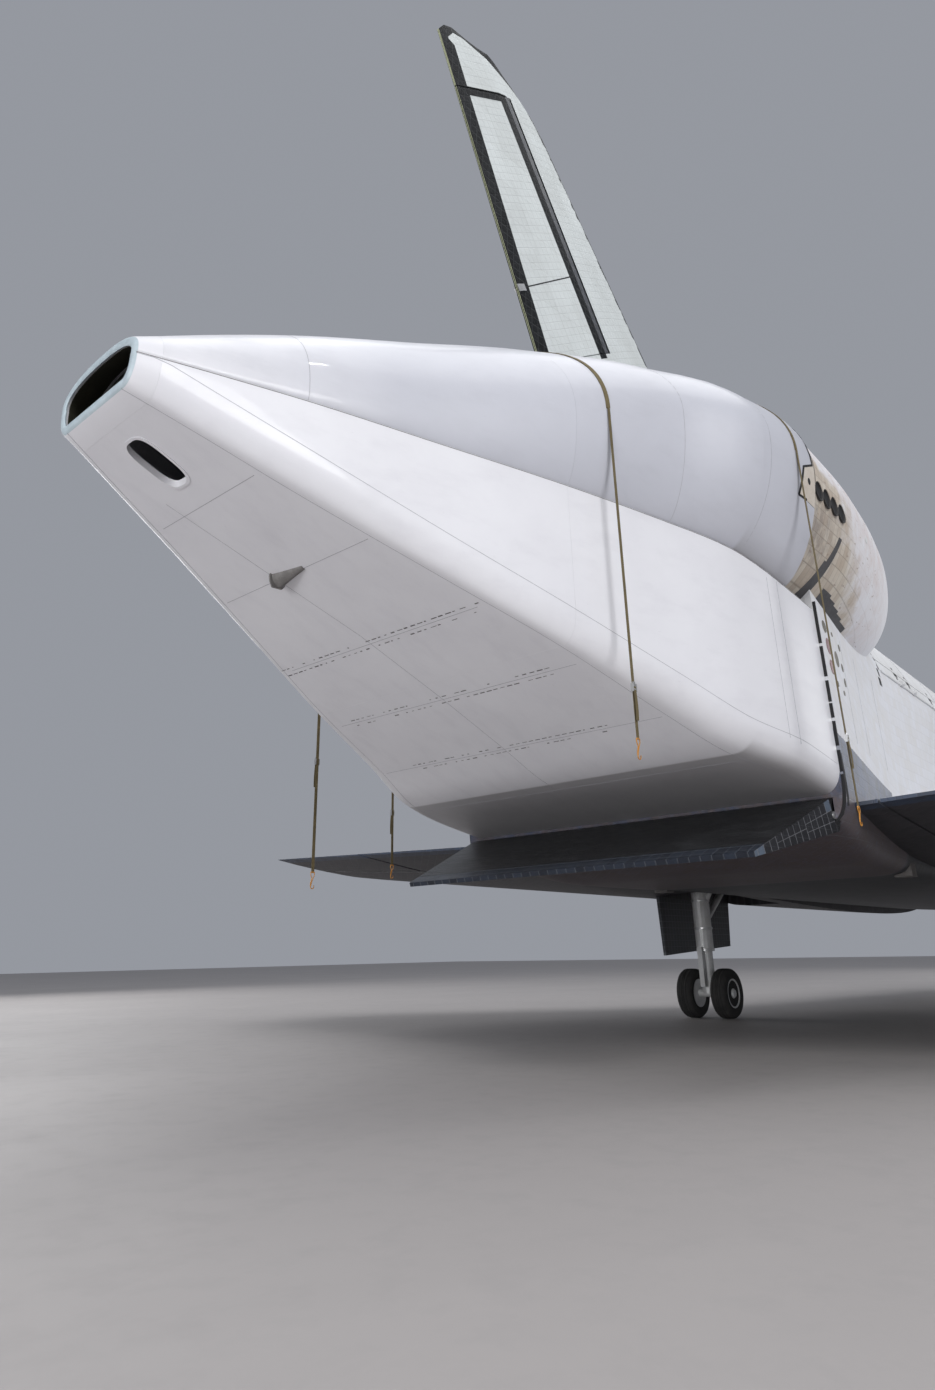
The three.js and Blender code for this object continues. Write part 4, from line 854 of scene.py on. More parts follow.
@dataclass(frozen=True)
class Fuselage(Finish):
    """White blankets and tiles above a stepped line, black tiles below it, weathered at the tail."""

    white: Colour = (0.74, 0.75, 0.79)
    cream: Colour = (0.62, 0.59, 0.53)
    black: Colour = (0.022, 0.024, 0.028)
    worn: Colour = (0.042, 0.064, 0.125)
    rust: Colour = (0.115, 0.08, 0.068)

    def build(self, graph: Graph) -> Material:
        """The black reaches up to a broken line, read at the corners of the white tiles, so it is stepped."""
        aft, starboard, up = graph.inches()
        joints, tone = graph.tiles(aft, up - abs(starboard), 8.0, 0.35)
        edge = graph.line((aft / 6).floor() * 6 + 3, [(250, 372), (300, 356), (420, 330), (520, 292), (620, 285),
                                                      (1335, 285), (1362, 318), (1531, 330)])
        black_area = edge.over(up, 0.25)
        side_tiles, side_tone = graph.tiles(aft, up, 6.0, 0.3)
        belly_tiles, belly_tone = graph.tiles((aft + starboard) * 0.7071, (aft - starboard) * 0.7071, 6.0, 0.3)
        is_side = up.over(274, 1)
        dark_joint = side_tiles * is_side + belly_tiles * (1 - is_side)
        dark_tone = side_tone * is_side + belly_tone * (1 - is_side)
        stain = graph.noise(24, 5, 0.65)
        clean = graph.mix((tone * 0.25 + stain * 0.5 - 0.2).clamped(), self.white, self.cream)
        white = graph.mix(joints * 0.25, clean, (0.42, 0.43, 0.45))
        tail = aft.over(1336, 8) * up.over(262, 4)
        weather = (tail * graph.noise(14, 6, 0.7).over(0.42, 0.3) + 0.12 * dark_tone).clamped()
        rusty = tail * (graph.noise(9, 5, 0.7, (2.4, 1, 1)) + (302 - up) * 0.02).over(0.62, 0.3)
        dark = graph.mix(rusty * 0.7, graph.mix(weather, self.black, self.worn), self.rust)
        scratch = tail * graph.noise(2.4, 4, 0.7, (1, 1, 3)).over(0.62, 0.12) * 0.4
        seamed = graph.mix(dark_joint * 0.45, graph.mix(scratch, dark, (0.15, 0.19, 0.27)), (0.15, 0.16, 0.17))
        quilt = (1 - joints) * 0.6 + graph.noise(3, 2) * 0.5
        height = quilt * (1 - black_area) + (1 - dark_joint) * black_area
        return graph.finish(graph.mix(black_area, white, seamed), 0.78 - black_area * 0.3 + stain * 0.12, height,
                            0.004, 0.5)


@dataclass(frozen=True)
class Blanket(Finish):
    """Quilted white blankets: soft squares between rows of stitches, with stains and stepped tones."""

    white: Colour = (0.78, 0.79, 0.81)
    stain: Colour = (0.55, 0.54, 0.51)
    quilt: float = 3.2
    sheet: float = 28.0

    def build(self, graph: Graph) -> Material:
        """Quilting is the joint mask of small squares, and a sheet's seam that of large ones."""
        aft, starboard, up = graph.inches()
        round_way = up - abs(starboard)
        stitches, _ = graph.tiles(aft, round_way, self.quilt, 0.55)
        seams, tone = graph.tiles(aft, round_way, self.sheet, 0.5)
        dirt = (graph.noise(34, 5, 0.7).over(0.55, 0.35) * 0.32 + tone * 0.28 + seams * 0.5
                + graph.noise(2.4, 3).over(0.68, 0.1) * 0.16).low(1.0)
        height = (1 - stitches) * 0.35 + graph.noise(5, 4, 0.6, (2.2, 1, 0.6)) * 0.9 - seams * 0.5
        return graph.finish(graph.mix(dirt, self.white, self.stain), 0.86, height, 0.006, 0.5)


@dataclass(frozen=True)
class PodSkin(Finish):
    """White blankets on a pod, with cream and ochre tiles round its thrusters and small repairs."""

    white: Colour = (0.76, 0.76, 0.79)
    cream: Colour = (0.58, 0.515, 0.41)
    ochre: Colour = (0.36, 0.265, 0.17)

    def build(self, graph: Graph) -> Material:
        """The cream area lies aft of a slanting line, and fades with a cloud of noise."""
        aft, starboard, up = graph.inches()
        joints, tone = graph.tiles(aft, up - abs(starboard) * 0.4, 5.2, 0.3)
        cloud = graph.noise(16, 5, 0.65)
        reach = graph.line(up, [(400, 1440), (426, 1474), (442, 1506), (464, 1520), (478, 1610)])
        area = (aft + (cloud - 0.5) * 90).over(reach, 34)
        mottled = graph.mix((tone * 0.8 + graph.noise(3.5, 4, 0.7) * 0.7 - 0.45).clamped(), self.cream, self.ochre)
        clean = graph.mix((cloud.over(0.52, 0.3) * 0.5 * aft.over(1400, 60) + tone * 0.1).low(1.0), self.white,
                          (0.60, 0.50, 0.47))
        brown = (graph.noise(5, 5, 0.7, (1, 1, 2.2)).over(0.5, 0.3) * up.within(420, 450, 8) * aft.over(1536, 40)
                 * 1.3).low(1.0)
        base = graph.mix(area * 0.8, clean, graph.mix(brown * 0.75, mottled, (0.17, 0.13, 0.10)))
        repair = graph.noise(2.4, 2, 0.5, (2.6, 1, 0.9)).over(0.69, 0.03) * aft.over(1400, 30)
        marked = graph.mix(repair * 0.6, base, (0.30, 0.22, 0.18))
        colour = graph.mix(joints * (0.12 + area * 0.5), marked, (0.22, 0.185, 0.155))
        return graph.finish(colour, 0.72 + cloud * 0.1, (1 - joints) * 0.5 + graph.noise(4, 3) * 0.6, 0.004, 0.45)


@dataclass(frozen=True)
class WingSkin(Finish):
    """Wing: blankets above with a band of dark tiles behind the leading edge, black tiles below."""

    rear_band: bool = False
    white: Colour = (0.74, 0.75, 0.78)
    black: Colour = (0.020, 0.021, 0.026)
    mauve: Colour = (0.060, 0.052, 0.062)
    blue: Colour = (0.035, 0.055, 0.10)

    def build(self, graph: Graph) -> Material:
        """Upper and lower faces are told apart by the surface normal, and bands by place on the wing."""
        aft, starboard, _ = graph.inches()
        span = abs(starboard)
        above = graph.facing_up().over(0.06, 0.08)
        leading = graph.line(span, WING.rows[:, :2].tolist())
        trailing = trailing_x(span)
        joints, tone = graph.tiles((aft + starboard) * 0.7071, (aft - starboard) * 0.7071, 6.0, 0.3)
        stitches, sheet_tone = graph.tiles(aft, span, 8.0, 0.3)
        cloud = graph.noise(30, 5, 0.65)
        dark = graph.mix((tone * 0.5 + cloud * 0.9 - 0.45).clamped(), self.black, self.mauve)
        edged = graph.mix(aft.over(trailing - 13, 0.4) * (0.5 + 0.5 * tone), dark, self.blue)
        below = graph.mix(joints * 0.4, edged, (0.11, 0.11, 0.125))
        clean = graph.mix((sheet_tone * 0.35 + cloud.over(0.55, 0.3) * 0.35).low(1.0), self.white,
                          (0.58, 0.57, 0.56))
        quilted = graph.mix(stitches * 0.35, clean, (0.45, 0.45, 0.47))
        bands = 1 - aft.over(leading + 44 + (span.over(200, 30)) * -14, 0.4)
        if self.rear_band:
            bands = bands.high(aft.over(trailing - 7, 0.3))
        top = graph.mix(bands, quilted, graph.mix(joints * 0.4, (0.055, 0.056, 0.062), (0.16, 0.16, 0.17)))
        height = (1 - joints) * (1 - above) + ((1 - stitches) * 0.5 + graph.noise(4, 3) * 0.4) * above
        return graph.finish(graph.mix(above, below, top), 0.52 + above * 0.28 + cloud * 0.1, height, 0.004, 0.5)


@dataclass(frozen=True)
class FinSkin(Finish):
    """Fin: white blankets, black tiles along its rear edge and its tip, and a dark front edge."""

    white: Colour = (0.66, 0.70, 0.70)
    stain: Colour = (0.47, 0.49, 0.48)
    band: float = 13.5

    def build(self, graph: Graph) -> Material:
        """The bands follow the outline of the fin, drawn as broken lines over height, and the rudder's hinge."""
        aft, starboard, up = graph.inches()
        leading = graph.line(up, FIN.rows[:, :2].tolist())
        trailing = graph.line(up, np.delete(FIN.rows, -2, axis=0)[:, [0, 2]].tolist())
        joints, tone = graph.tiles(aft, up, 6.0, 0.35)
        seams, sheet = graph.tiles(aft - up * 0.55, up, 26.0, 0.45)
        cloud = graph.noise(26, 5, 0.65)
        dirt = (sheet * 0.22 + cloud.over(0.54, 0.3) * 0.3 + seams * 0.35
                + graph.noise(3, 3, 0.6, (1, 1, 3)).over(0.68, 0.1) * 0.14).low(1.0)
        clean = graph.mix(dirt, self.white, self.stain)
        rear = aft.over(trailing - (self.band - up.over(815, 1) * 5), 0.4) * up.over(560, 2)
        front = (1 - aft.over(leading + 8 + tone * 6.0, 0.5)) * (0.82 + 0.18 * graph.noise(2, 3).over(0.48, 0.1))
        (x0, z0), (x1, z1) = RUDDER_HINGE
        length = math.dist(*RUDDER_HINGE)
        out_x, out_z = (x1 - x0) / length, (z1 - z0) / length
        along, behind = (aft - x0) * out_x + (up - z0) * out_z, (aft - x0) * out_z - (up - z0) * out_x
        hinge = behind.within(5.5, 16.0) * along.within(-4, length + 1.5)
        crown = along.within(length - 5.5, length + 1.2) * behind.over(3)
        mask = rear.high(up.over(829.5, 0.4)).high(front).high(hinge).high(crown)
        dark = graph.mix((tone * 0.5 + cloud * 0.4 - 0.2).clamped(), (0.004, 0.005, 0.006), (0.016, 0.018, 0.021))
        tiled = graph.mix(joints * 0.45, dark, (0.08, 0.085, 0.09))
        wedge = aft.over(trailing - 0.12, 0.08) * up.over(560, 2) * (1 - abs(starboard).over(0.75, 0.1))
        quilt, _ = graph.tiles(along, behind, 5.5, 0.5)
        height = (1 - quilt) * 0.5 + graph.noise(4, 4, 0.6, (2, 1, 0.7)) * 1.1 + (1 - joints) * mask
        quilted = graph.mix(quilt * 0.22, clean, (0.36, 0.38, 0.38))
        faced = graph.mix(wedge, graph.mix(mask, quilted, tiled), (0.36, 0.38, 0.25))
        return graph.finish(faced, 0.8 - mask * 0.2, height, 0.006, 0.5, specular_ior_level=0.12)


@dataclass(frozen=True)
class BlackTile(Finish):
    """Glazed black tiles with paler joints, a tone each, and a haze of weathering."""

    base: Colour = (0.017, 0.018, 0.022)
    haze: Colour = (0.085, 0.095, 0.115)
    joint: Colour = (0.20, 0.21, 0.225)
    size: float = 6.0
    gap: float = 0.32
    weather: float = 0.45
    slot = "black_tile"

    def build(self, graph: Graph) -> Material:
        """Tiles run along the orbiter, and up or across it by which way the surface faces."""
        aft, starboard, up = graph.inches()
        flat = abs(graph.facing_up()).over(0.6, 0.1)
        joints, tone = graph.tiles(aft, up * (1 - flat) + starboard * flat, self.size, self.gap)
        haze = ((graph.noise(11, 6, 0.7).over(0.5, 0.35) + tone * 0.35) * self.weather).clamped()
        colour = graph.mix(joints * 0.65, graph.mix(haze, self.base, self.haze), self.joint)
        return graph.finish(colour, 0.42 + haze * 0.35, (1 - joints) + graph.noise(1.2, 2) * 0.15, 0.004, 0.5)


@dataclass(frozen=True)
class FlapSkin(Finish):
    """Body flap: a near-black wrinkled skin, with a blue-grey band of tiles along its rear edge."""

    base: Colour = (0.011, 0.0115, 0.013)
    # colour of the lighter streaks, partly painted sheen of the glossy skin
    streak: Colour = (0.05, 0.053, 0.056)
    band: Colour = (0.022, 0.030, 0.047)
    slot = "black_tile"

    def build(self, graph: Graph) -> Material:
        """Lighter streaks lie across the flap, partly real streaks and partly painted sheen, and the band is behind a
        station that the droop gives.
        """
        aft, starboard, _ = graph.inches()
        wrinkle = graph.noise(2.4, 5, 0.7, (1, 6, 1)) + graph.noise(14, 3, 0.6, (1, 3, 1))
        # gleam: lighter streaks that are partly painted sheen of the glossy skin
        gleam = graph.noise(5, 6, 0.7, (1, 4, 1)).over(0.56, 0.2)
        skin = graph.mix(gleam * 0.55, self.base, self.streak)
        rear = aft.over(1601, 1.2)
        joints, tone = graph.tiles(starboard, aft, 6.0, 0.35)
        pale = graph.mix((tone * 0.7 + graph.noise(6, 4) * 0.6 - 0.3).clamped(), self.band, (0.010, 0.012, 0.018))
        edged = graph.mix(joints * 0.7, pale, (0.15, 0.17, 0.20))
        height = wrinkle * (1 - rear) + (1 - joints) * rear * 0.5
        return graph.finish(graph.mix(rear, skin, edged), 0.30 + gleam * 0.12, height, 0.014, 0.8)


@dataclass(frozen=True)
class Webbing(Finish):
    """Woven strap: fine cross ribs and dirt."""

    base: Colour = (0.21, 0.165, 0.075)
    dark: Colour = (0.075, 0.058, 0.03)
    slot = "webbing"

    def build(self, graph: Graph) -> Material:
        """Ribs repeat along the strap, by its height where it hangs and by its run over the top."""
        aft, starboard, up = graph.inches()
        ribs, lines = (((up + abs(starboard)) * 9).sine() * 0.5 + 0.5, (aft * 16).sine() * 0.5 + 0.5)
        shade = (ribs * 0.35 + lines * 0.3 + graph.noise(5, 4, 0.7).over(0.5, 0.4) * 0.35).low(1.0)
        return graph.finish(graph.mix(shade, self.base, self.dark), 0.85, ribs * lines, 0.0012, 0.6)


@dataclass(frozen=True)
class Glazing(Finish):
    """Dark cabin glass with a faint smear."""

    slot = "cabin_glass"

    def build(self, graph: Graph) -> Material:
        """Almost black and smooth, with roughness from a soft smear."""
        smear = graph.noise(12, 4, 0.6)
        colour = graph.mix(smear * 0.6, (0.012, 0.016, 0.020), (0.03, 0.036, 0.042))
        return graph.finish(colour, 0.05 + smear * 0.08, coat_weight=0.5)


@dataclass(frozen=True)
class Rubber(Finish):
    """Tyre rubber: dusty black, with a grain."""

    slot = "tyre_rubber"

    def build(self, graph: Graph) -> Material:
        """Dust in clouds over black, and a fine grain in relief."""
        dust = graph.noise(7, 5, 0.7).over(0.5, 0.4)
        colour = graph.mix(dust * 0.5, (0.012, 0.012, 0.013), (0.055, 0.052, 0.048))
        return graph.finish(colour, 0.82 + dust * 0.1, graph.noise(0.5, 3), 0.0008, 0.5)


@dataclass(frozen=True)
class Carbon(Finish):
    """Bare grey carbon: a matt shell with mottled tone and faint weave."""

    base: Colour = (0.115, 0.115, 0.12)
    pale: Colour = (0.21, 0.21, 0.215)
    slot = "carbon_edge"

    def build(self, graph: Graph) -> Material:
        """Mottling from two sizes of noise."""
        mottle = (graph.noise(9, 6, 0.7) + graph.noise(1.1, 3) * 0.4 - 0.25).clamped()
        return graph.finish(graph.mix(mottle, self.base, self.pale), 0.55 + mottle * 0.15,
                            graph.noise(0.8, 3, 0.6), 0.001, 0.4)


CONE_PAINT = ConePaint()
# greyer paint for the fairing, darkened further as painted shade: a shaded copy of the cone paint
FAIRING_PAINT_AND_SHADE = ConePaint((0.53, 0.54, 0.595), (0.40, 0.405, 0.45))
VENT_METAL = Paint((0.25, 0.24, 0.235), (0.10, 0.095, 0.09), 0.45, 0.3, 0.35)
SEAM = Paint((0.42, 0.42, 0.46), (0.32, 0.32, 0.35), 0.6, slot="cone_white")
SEAM_DARK = Paint((0.10, 0.095, 0.10), (0.24, 0.23, 0.235), 0.7, 0.0, 0.8)
# near-black: painted shade where it stands in a hollow (the plate inside the cone's rear, jet throats, nozzle cups),
# and the real black of outlines, joint marks, crosses and seams
SHADE_AND_BLACK_MARKS = Paint((0.012, 0.012, 0.014), (0.03, 0.03, 0.032), 0.85, slot="black_tile")
# dark olive: the lining's own olive, darkened as painted shade inside the cone's opening
RIM_LINER_SHADED = Paint((0.035, 0.034, 0.018), (0.012, 0.012, 0.010), 0.7, slot="black_tile")
JET_METAL = Paint((0.028, 0.027, 0.028), (0.055, 0.05, 0.048), 0.55, 0.3, slot="engine_metal")
SOOT_METAL = Paint((0.20, 0.17, 0.14), (0.09, 0.075, 0.065), 0.5, 0.7, slot="engine_metal")
PAD_METAL = Paint((0.20, 0.19, 0.185), (0.12, 0.11, 0.105), 0.5, 0.4)
BARE_METAL = Paint((0.55, 0.56, 0.57), (0.36, 0.35, 0.34), 0.34, 0.85, 0.8)
GEAR_PAINT = Paint((0.62, 0.63, 0.64), (0.40, 0.39, 0.37), 0.42, 0.25, 0.9)
BAY_LINER = Paint((0.60, 0.62, 0.60), (0.44, 0.46, 0.45), 0.75, 0.0, 2.0, "cabin_grey")
RADIATOR = Paint((0.72, 0.74, 0.77), (0.58, 0.60, 0.63), 0.18, 0.8, 3.0)
CABIN_PAINT = Paint((0.26, 0.27, 0.28), (0.17, 0.175, 0.18), 0.75)
HOOK_PAINT = Paint((0.62, 0.27, 0.025), (0.30, 0.12, 0.03), 0.42, 0.1, 0.3, "hook_orange")
RED_CAP = Paint((0.13, 0.012, 0.022), (0.07, 0.012, 0.016), 0.5, slot="black_tile")
OLIVE_CAP = Paint((0.11, 0.10, 0.075), (0.06, 0.055, 0.045), 0.6, slot="black_tile")
PALE_TILE = Paint((0.62, 0.57, 0.51), (0.45, 0.38, 0.31), 0.75, slot="white_blanket")
STONE_TILE = Paint((0.085, 0.083, 0.088), (0.05, 0.048, 0.05), 0.7, 0.0, 2.0, "black_tile")
FLAP_JOINT = Paint((0.20, 0.205, 0.22), (0.12, 0.12, 0.135), slot="white_blanket")
FLAP_PALE_TILE = Paint((0.10, 0.13, 0.175), (0.05, 0.062, 0.085), 0.6, slot="black_tile")
FLAP_TILE = BlackTile((0.007, 0.007, 0.009), (0.025, 0.028, 0.036), gap=0.05, weather=0.3)
FLOOR_PAINT = Paint((0.42, 0.395, 0.385), (0.37, 0.35, 0.345), 0.6, 0.0, 14.0)
BLACK_TILE, BLANKET, FUSELAGE, WEBBING, RUBBER = BlackTile(), Blanket(), Fuselage(), Webbing(), Rubber()


def dress(made: Object, finish: Finish, *nodes: str, body: str = "airframe", slot: str | None = None,
          sharp: float = 30.0) -> Object:
    """Finishes a piece and hangs it on its body.

    Args:
        made: the piece.
        finish: its material.
        nodes: CAD nodes that it stands for.
        body: the CAD body that it rides on.
        slot: the record's slot, if not the finish's own; not used.
        sharp: edges sharper than this angle, in degrees, stay sharp.

    Returns:
        The same piece.
    """
    mesh = made.data
    mesh.materials.clear()
    mesh.materials.append(finish.material())
    mesh.shade_smooth()
    mesh.set_sharp_from_angle(angle=math.radians(sharp))
    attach(made, body)
    slot or finish.slot
    if nodes:
        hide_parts(*nodes)
    log.info("%s: %d faces on %s", made.name, len(mesh.polygons), body)
    return made


def put(name: str, forms: Form | Sequence[Form], finish: Finish, *nodes: str, side: Side | None = None,
        **options: str | float) -> Object:
    """Makes and dresses a piece that needs no cutting; with a side, it is drawn for starboard and put there."""
    whole = forms if isinstance(forms, Form) else Form.joined(forms)
    if side:
        name, whole = f"{name}_{side.word}", whole.on(side)
    return dress(whole.object(name), finish, *nodes, **options)


def coat(frame: dict, finish: Finish, *nodes: str) -> None:
    """Gives CAD nodes that stay in view a better material."""
    for node in nodes:
        for slot in frame["nodes"][node].material_slots:
            slot.material = finish.material()


@dataclass
class View:
    """The camera of the photograph, worked out in inches, and the light and floor round the orbiter."""

    position: Row = (2003.0, 276.7, 218.8)
    yaw: float = 40.91
    pitch: float = 20.0
    roll: float = -1.05
    focal_pixels: float = 858.7
    principal: Row = (463.8, 641.4)
    frame: tuple[int, int] = (935, 1390)
    sensor: float = 36.0
    aim: Row = (0.0, 4.0, 3.5)
    lights: tuple[tuple[str, Row, float, float], ...] = (
        ("overhead", (-2, 3, 21), 18, 1400), ("starboard", (-18, 13, 11.5), 8, 1800), ("aft", (-3, 29, 2.2), 8, 2500),
        ("port", (19, 4, 9), 11, 1000), ("nose", (-6, -23, 9), 10, 1100), ("glint_a", (-8, 9, 17), 0.5, 70),
        ("glint_b", (-3, 13, 18), 0.5, 70), ("glint_c", (3, 6, 18), 0.5, 70))

    @staticmethod
    def shown(name: str, data: bpy.types.ID, spot: Row, turn: Matrix) -> Object:
        """An object of the scene at a place, turned."""
        made = bpy.data.objects.new(name, data)
        made.matrix_world = Matrix.Translation(spot) @ turn.to_4x4()
        bpy.context.scene.collection.objects.link(made)
        return made

    def camera(self) -> None:
        """Places the camera: it looks forward and to port, up by its pitch, and rolls about its own axis."""
        yaw, pitch, roll = np.radians([self.yaw, self.pitch, self.roll])
        ahead = np.array([-math.cos(yaw) * math.cos(pitch), -math.sin(yaw) * math.cos(pitch), math.sin(pitch)])
        level = np.cross(ahead, UP)
        level /= np.linalg.norm(level)
        rise = np.cross(level, ahead)
        right, up = math.cos(roll) * level + math.sin(roll) * rise, math.cos(roll) * rise - math.sin(roll) * level
        data = bpy.data.cameras.new("camera")
        wide, tall = self.frame
        data.sensor_fit, data.sensor_width = "AUTO", self.sensor
        data.lens = self.sensor * self.focal_pixels / tall
        data.shift_x, data.shift_y = (wide / 2 - self.principal[0]) / tall, (self.principal[1] - tall / 2) / tall
        data.clip_end = 500
        axes = Matrix([(-y, x, z) for x, y, z in (right, up, -ahead)]).transposed()
        bpy.context.scene.camera = self.shown("camera", data, Vector(place(np.array(self.position))), axes)

    def lamps(self) -> None:
        """Soft light from large panels overhead and a pale surround."""
        world = bpy.data.worlds.new("surround")
        world.use_nodes = True
        background = world.node_tree.nodes["Background"]
        background.inputs["Color"].default_value = (0.60, 0.63, 0.70, 1)
        background.inputs["Strength"].default_value = 0.5
        bpy.context.scene.world = world
        for name, spot, size, watts in self.lights:
            data = bpy.data.lights.new(name, "AREA")
            data.shape, data.size, data.energy = "DISK", size, watts
            turn = (Vector(self.aim) - Vector(spot)).to_track_quat("-Z", "Y").to_matrix()
            self.shown(name, data, spot, turn).visible_camera = False
        view = bpy.context.scene.view_settings
        view.view_transform, view.look = "Standard", "None"

    def floor(self) -> None:
        """A wide pale floor just under the tyres."""
        half, foot = 5200.0, GROUND_Z - 0.05
        a, b = mesh_grid([-half, half], [-half, half])
        made = Form.plate(xyz(MIDDLE_X + a, b, foot), xyz(MIDDLE_X + a, b, foot - 4)).object("floor")
        made.data.materials.append(FLOOR_PAINT.material())
        made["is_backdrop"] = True


@dataclass
class Strap:
    """A cargo strap over the tail cone: a band over the fairing, and a tail with a hook on each side."""

    name: str
    x: float
    ends: dict[Side, float]
    buckle: float
    width: float = 2.0
    thickness: float = 0.3
    loose: float = 15.0
    leg: Rows = ((0, 0, 0.3), (1.25, 0, 0.1), (1.3, 0, -1.4), (0.35, 0, -3.2), (0.3, 0.9, -5.6), (0.18, 1.1, -7.2))

    def over(self) -> None:
        """The band from widest point to widest point, laid on the fairing."""
        grids = mesh_grid(np.linspace(self.x - self.width / 2, self.x + self.width / 2, 3), np.linspace(-1, 1, 97))
        band = drape(Skin.cone_above, *grids, TOUCH_GAP + self.thickness, UP, -TOUCH_GAP)
        put(f"{self.name}_over_fairing", band, WEBBING, self.name)

    def tail(self, side: Side) -> None:
        """A tail: a flat band straight down from the widest point to its hook, and what hangs on it."""
        row = CONE.smooth(self.x)
        y = side.sign * (float(row["bulge"]) + TOUCH_GAP + self.thickness)
        top, end = float(row["bulge_z"]), self.ends[side]
        path = xyz(self.x, y, np.linspace(top, end, 24))
        corner = np.array([(1, -0.6, 0), (1, 0.6, 0), (0.94, 1, 0), (-0.94, 1, 0), (-1, 0.6, 0), (-1, -0.6, 0),
                           (-0.94, -1, 0), (0.94, -1, 0)])
        offsets = corner * (self.width / 2, self.thickness / 2, 0)
        band = Form.loft(path[:, None] + offsets).object(f"{self.name}_tail_{side.word}")
        dress(band, WEBBING, self.name)
        hook = self.hook(side, y, end)
        buckle = self.ratchet(side, y)
        tuple(place(path[0]))
        [tuple(point) for point in place(path)]

    def hook(self, side: Side, y: float, top: float) -> Object:
        """A wire hook: an eye that takes the strap, two legs that meet, and a bend at the foot."""
        turn = np.linspace(-0.15 * np.pi, 1.15 * np.pi, 24)
        bend = Form.tube(xyz(self.x + 1.15 * np.cos(turn), y, top - 7.4 - 1.2 * np.sin(turn)), 0.24)
        legs = [Form.tube(through([(self.x + (hand * spread + aft), y, top + rise) for spread, aft, rise in self.leg],
                                  30), 0.22) for hand in (-1, 1)]
        eye = Form.bar((self.x - 1.3, y, top - 0.1), (self.x + 1.3, y, top - 0.1), 0.26, sides=16)
        return put(f"{self.name}_wire_hook_{side.word}", [*legs, bend, eye], HOOK_PAINT,
                   f"{self.name}_hook_{side.word}")

    def ratchet(self, side: Side, y: float) -> list[Object]:
        """A cam buckle on the tail and the loose end of the band below it."""
        out, x, z = side.sign, self.x, self.buckle
        near, far = sorted((y - 0.5 * out, y + 0.9 * out))
        frame = [Form.block((x + a, near, z - 1.8), (x + a + 0.25, far, z + 1.8)) for a in (-1.35, 1.1)]
        frame += [Form.bar((x - half, y + away * out, z + rise), (x + half, y + away * out, z + rise), radius, sides=16)
                  for half, away, rise, radius in ((1.5, 0.35, 1.1, 0.32), (1.6, 0.4, -0.7, 0.42))]
        frame.append(Form.block((x - 1, y + out * 0.45 - 0.1, z - 0.5), (x + 1, y + out * 0.45 + 0.1, z + 2.6)))
        buckle = put(f"{self.name}_buckle_{side.word}", frame, BARE_METAL)
        s = np.linspace(0, 1, 16)
        sag = xyz(x + 0.25 * s, y + out * (0.45 + 0.55 * np.sin(s * 2.4)), z + 0.6 - self.loose * s)
        band = Form.loft(sag[:, None] + np.array([(a, b, 0) for a, b in rect(0.95, 0.1, -0.95, -0.1)]))
        return [buckle, put(f"{self.name}_loose_end_{side.word}", band, WEBBING)]

    def build(self) -> None:
        """Makes the whole strap."""
        self.over()
        for side in self.ends:
            self.tail(side)


def hull_form(start: float, end: float, grow: float = 0.0, around: int = 96) -> Form:
    """The hull between two stations: sections lofted through the table's stations and some between them."""
    return Form.loft(Skin.hull(*mesh_grid(stations(start, end, 14, *HULL.rows[:, 0]), whole_turn(around)), grow))


def window_frame(surface: Surface, corners: Rows, border: float, proud: float, hint: Row) -> Form:
    """A flat frame round four corners on a surface: the outline, and the outline drawn out from its middle."""
    outline, middle = through([*corners, corners[0]], 33), np.mean(corners, axis=0)
    spread = middle + (outline - middle)[:, None] * np.array([1.0, 1.0 + border])[None, :, None]
    return drape(surface, spread[..., 0], spread[..., 1], proud, hint)


